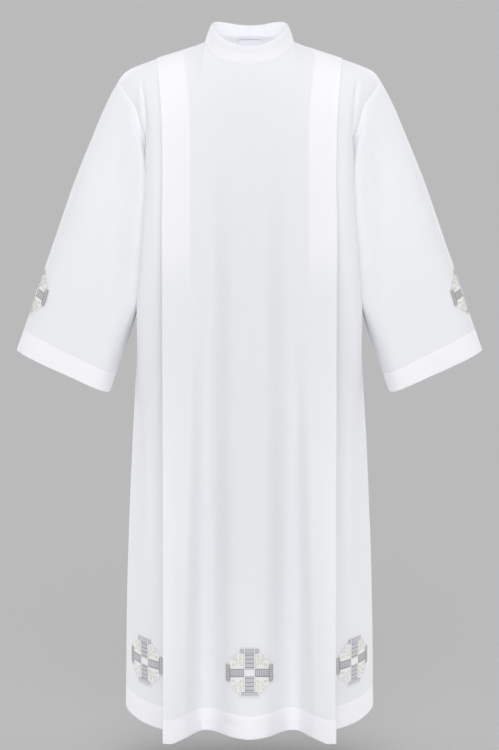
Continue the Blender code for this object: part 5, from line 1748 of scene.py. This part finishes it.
rows_of_stitches = []
for grid, out, columns in (
    (front_grid, front_normals, np.nonzero(columns_whole == SIDE)[0][: len(side_columns)]),
    (front_grid, front_normals, np.nonzero(columns_whole == SIDE)[0][len(side_columns) :]),
    (front_grid, front_normals, np.nonzero(columns_whole == CENTRE)[0]),
    (back_grid, back_normals, np.arange(back_grid.shape[1])),
):
    paths, ups = running_stitches(grid[HEM_LINE, columns], out[HEM_LINE, columns])
    rows_of_stitches.append((paths, ups, SEWING_THREAD, 0))
cuff_line, cuff_out = (closed_round(grid, True)[CUFF_LINE] for grid in (sleeve_grid, sleeve_normals))
paths, ups = running_stitches(cuff_line, cuff_out)
for flip in ([1, 1, 1], [-1, 1, 1]):
    rows_of_stitches.append((paths * flip, ups * flip, SEWING_THREAD, 0))
stitching = thread_piece("hem_and_cuff_stitching", rows_of_stitches, [threads[WHITE]])
print(f"{sum(len(paths) for paths, *_ in rows_of_stitches)} stitches in the hem and the cuffs")

# %% [markdown]
# ## The studio
#
# A pale floor lies a hand's breadth below the hem and reaches far enough back to be the backdrop
# too. The light is soft: a pale sky all round, a faint sun, a wide lamp in front and smaller ones
# above, behind and at the sides. Narrow ones brighten the hem and the shoulders. White cloth needs
# little contrast but some, or its folds vanish, and the lamps at the sides give it. Only the sky
# and the sun light the floor. Every other lamp lights the robe alone, as a studio's flags would
# see to, so that the floor stays plain. In Blender that is a lamp's receiver collection.

# %% The floor
FLOOR_HEIGHT, FLOOR_REACH = -1.45, 900.0
PALE_FLOOR, SPECK = (0.830, 0.830, 0.830), (0.5, 0.5, 0.5)
SPECK_SIZE, SPECK_SHARE = 60.0, 0.012
floor_mesh = bpy.data.meshes.new("floor")
corners = ((-1, -1), (1, -1), (1, 1), (-1, 1))
points = [(x * FLOOR_REACH, y * FLOOR_REACH, FLOOR_HEIGHT) for x, y in corners]
floor_mesh.from_pydata(points, [], [(0, 1, 2, 3)])
floor = bpy.data.objects.new("floor", floor_mesh)
collection.objects.link(floor)
floor_finish, tree, shader = new_material("pale_floor", PALE_FLOOR, 0.9, 0.0)
speckle = math_node(tree, "MULTIPLY", noise(tree, SPECK_SIZE), SPECK_SHARE)
tree.links.new(mixed(tree, speckle, PALE_FLOOR, SPECK), shader.inputs["Base Color"])
floor_mesh.materials.append(floor_finish)
floor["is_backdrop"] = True
print(f"the floor lies {(HEM_HEIGHT - FLOOR_HEIGHT) * 1000:.0f} mm below the hem")

# %% The sky
SKY_STRENGTH = 0.536
world = bpy.data.worlds.new("studio")
bpy.context.scene.world = world
world.use_nodes = True
background = world.node_tree.nodes["Background"]
background.inputs["Color"].default_value = (1.0, 1.0, 1.0, 1.0)
background.inputs["Strength"].default_value = SKY_STRENGTH
print("the sky's strength is", SKY_STRENGTH)

# %% The lamps
# Each of those at the sides is given for the wearer's left, and stands mirrored on the right too.
LAMPS = {
    "front": {"power": 31.5, "size": (3.6, 1.6), "place": (0.0, -3.0, 0.15), "target": (0.0, 0.0, -0.6)},
    "top": {"power": 4.6, "size": (1.6, 0.5), "place": (0.0, 0.30, 1.40), "target": (0.0, 0.0, 0.0)},
    "back": {"power": 30.0, "size": (1.2, 2.4), "place": (2.2, 2.2, -0.2), "target": (0.0, 0.0, -0.6)},
    "hem": {"power": 26.0, "cone": 17, "place": (0.0, -2.8, -1.1), "target": (0.0, -0.15, -1.40)},
    "shoulder": {"power": 21.0, "cone": 13, "place": (0.9, -1.7, 1.3), "target": (0.185, -0.03, -0.07)},
    "crossing": {"power": 48.0, "cone": 60, "place": (-2.3, -2.7, -0.3), "target": (0.2, -0.1, -0.6)},
    "side": {"power": 61.0, "cone": 60, "place": (2.6, -1.9, -0.3), "target": (0.3, -0.1, -0.5)},
    "low": {"power": 48.0, "cone": 24, "place": (0.5, -2.8, -0.9), "target": (0.2, -0.1, -1.15)},
}
SUN = {"power": 0.25, "angle": 35, "place": (0.0, -3.0, 3.0), "target": (0.0, 0.0, 0.0)}
INNER = {"power": 0.30, "radius": 0.03, "place": (0.0, -0.01, -0.12), "target": (0.0, 0.0, 0.0)}
print("in the table:", ", ".join(LAMPS))

# %% Place the lamps
SIDE_NAMES = {-1: "_right", 0: "", 1: "_left"}
robe_only = bpy.data.collections.new("lit by the robe's own lamps")
for piece in (front, back, sleeve_left, sleeve_right, collar, placket, stitching):
    robe_only.objects.link(piece)
for piece in (*labels.values(), *crosses.values()):
    robe_only.objects.link(piece)


def placed(name, light, row, side=0, only=robe_only):
    """A lamp where its row of the table says, in the middle (side 0), right (-1) or left (1)."""
    place, target = (Vector(row[key]) * Vector((side, 1, 1)) for key in ("place", "target"))
    made = bpy.data.objects.new(name, light)
    made.location = place
    made.rotation_euler = (target - place).to_track_quat("-Z", "Y").to_euler()
    collection.objects.link(made)
    made.light_linking.receiver_collection = only
    return made


def soft_lamp(kind, side=0):
    """A wide, flat lamp."""
    row, name = LAMPS[kind], kind + "_lamp" + SIDE_NAMES[side]
    light = bpy.data.lights.new(name, "AREA")
    light.shape = "RECTANGLE"
    light.size, light.size_y = row["size"]
    light.energy = row["power"]
    return placed(name, light, row, side)


def narrow_lamp(kind, side=0, radius=0.2, blend=1.0):
    """A spot: its radius softens the shadows, and its blend the rim of the beam."""
    row, name = LAMPS[kind], kind + "_lamp" + SIDE_NAMES[side]
    light = bpy.data.lights.new(name, "SPOT")
    light.spot_size, light.spot_blend = math.radians(row["cone"]), blend
    light.shadow_soft_size = radius
    light.energy = row["power"]
    return placed(name, light, row, side)


sun = bpy.data.lights.new("key_lamp", "SUN")
sun.angle = math.radians(SUN["angle"])
sun.energy = SUN["power"]
placed("key_lamp", sun, SUN, only=None)
soft_lamp("front")
soft_lamp("top")
narrow_lamp("hem")
for side in (-1, 1):
    soft_lamp("back", side)
    narrow_lamp("shoulder", side)

# Thin white cloth lets light through, so that a robe is bright inside too. A small lamp stands for that.
inner_light = bpy.data.lights.new("inner_lamp", "POINT")
inner_light.shadow_soft_size = INNER["radius"]
inner_light.energy = INNER["power"]
placed("inner_lamp", inner_light, INNER).visible_camera = False
print(f"{len(bpy.data.lights)} lamps so far")

# %% Lamps with doors
# Each of these beams is cut by one upright, soft edge, as a studio lamp's is by its doors.
DOORS = {  # the x at which the edge falls on the front, how soft it is, and the blend of the beam's rim
    "crossing": (0.0, 0.012, 0.5),
    "side": (0.125, 0.012, 0.5),
    "low": (0.160, 0.003, 1.0),
}
DOOR_Y = -0.10  # the depth of the front that the edges are set for
DOOR_LAMP_RADIUS = 0.10


def sideways_lean(tree):
    """How far sideways each ray of a lamp leans, as a socket of the lamp's own nodes."""
    coordinates = tree.nodes.new("ShaderNodeTexCoord")
    apart = tree.nodes.new("ShaderNodeSeparateXYZ")
    tree.links.new(coordinates.outputs["Normal"], apart.inputs[0])
    ahead = math_node(tree, "ABSOLUTE", apart.outputs["Z"])
    return math_node(tree, "DIVIDE", apart.outputs["X"], ahead)


def lamp_beside(kind, side):
    """A spot that lights only the points whose x is beyond its door's edge, on its own side."""
    edge_x, softness, blend = DOORS[kind]
    lamp = narrow_lamp(kind, side, DOOR_LAMP_RADIUS, blend)
    lamp.data.use_nodes = True
    tree = lamp.data.node_tree
    on_front = Vector((side * edge_x, DOOR_Y, lamp.location.z))
    way = lamp.rotation_euler.to_matrix().inverted() @ (on_front - lamp.location)
    middle = way.x / -way.z
    edge = tree.nodes.new("ShaderNodeMapRange")
    edge.interpolation_type = "SMOOTHSTEP"
    edge.inputs["From Min"].default_value = middle - side * softness
    edge.inputs["From Max"].default_value = middle + side * softness
    tree.links.new(sideways_lean(tree), edge.inputs["Value"])
    tree.links.new(edge.outputs[0], tree.nodes["Emission"].inputs["Strength"])


for side in (-1, 1):
    for kind in DOORS:
        lamp_beside(kind, side)
print("lamps:", ", ".join(sorted(light.name for light in bpy.data.lights)))

# %% [markdown]
# ## The camera
#
# A long lens from far away, a little above the collar and tilted down, keeps the robe free of the
# swollen look that a short lens gives. The view keeps colours as they are, so that white is white.

# %% Camera
LENS, SENSOR = 114.0, 36.0  # millimetres
VIEW_FROM, VIEW_TO = (0.0, -4.6, 0.10), (0.0, 0.0, -0.645)
camera_data = bpy.data.cameras.new("camera")
camera_data.lens = LENS
camera_data.sensor_fit = "VERTICAL"
camera_data.sensor_height = SENSOR
camera_data.clip_end = 3000.0
camera = bpy.data.objects.new("camera", camera_data)
camera.location = VIEW_FROM
camera.rotation_euler = (Vector(VIEW_TO) - camera.location).to_track_quat("-Z", "Y").to_euler()
collection.objects.link(camera)
scene = bpy.context.scene
scene.camera = camera
scene.view_settings.view_transform = "Standard"
scene.view_settings.look = "None"
print(f"the view is {math.degrees(camera_data.angle):.1f} degrees high")

# %% [markdown]
# ## What stands for what
#
# The last cells tie each piece to the imported model: they hide the solid that it stands for,
# and set the body that it moves with.

# %% Tie the pieces to the model
worn = {
    front: ("front", "front"),
    back: ("back", "back"),
    sleeve_left: ("sleeve_left", "sleeve"),
    sleeve_right: ("sleeve_right", "sleeve"),
    collar: ("collar", "collar"),
    placket: ("shoulder_placket", "placket"),
    labels["neck_label"]: ("neck_label", "neck_label"),
    labels["care_label"]: ("care_label", "care_label"),
}
for piece, (node, cut) in worn.items():
    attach(piece, "root")
    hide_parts(node)
    flat, area = cuts[cut]
for node, piece in crosses.items():
    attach(piece, "root")
    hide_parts(node)
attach(stitching, "root")
print(f"{len(worn) + len(crosses)} pieces stand for {len(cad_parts)} nodes")

# %% The size of the model and of the robe
bpy.context.view_layer.update()
size = {"cad": cad_box, "visual": [list(corner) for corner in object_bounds()]}
print("size:", {name: [[round(v, 4) for v in corner] for corner in box] for name, box in size.items()})
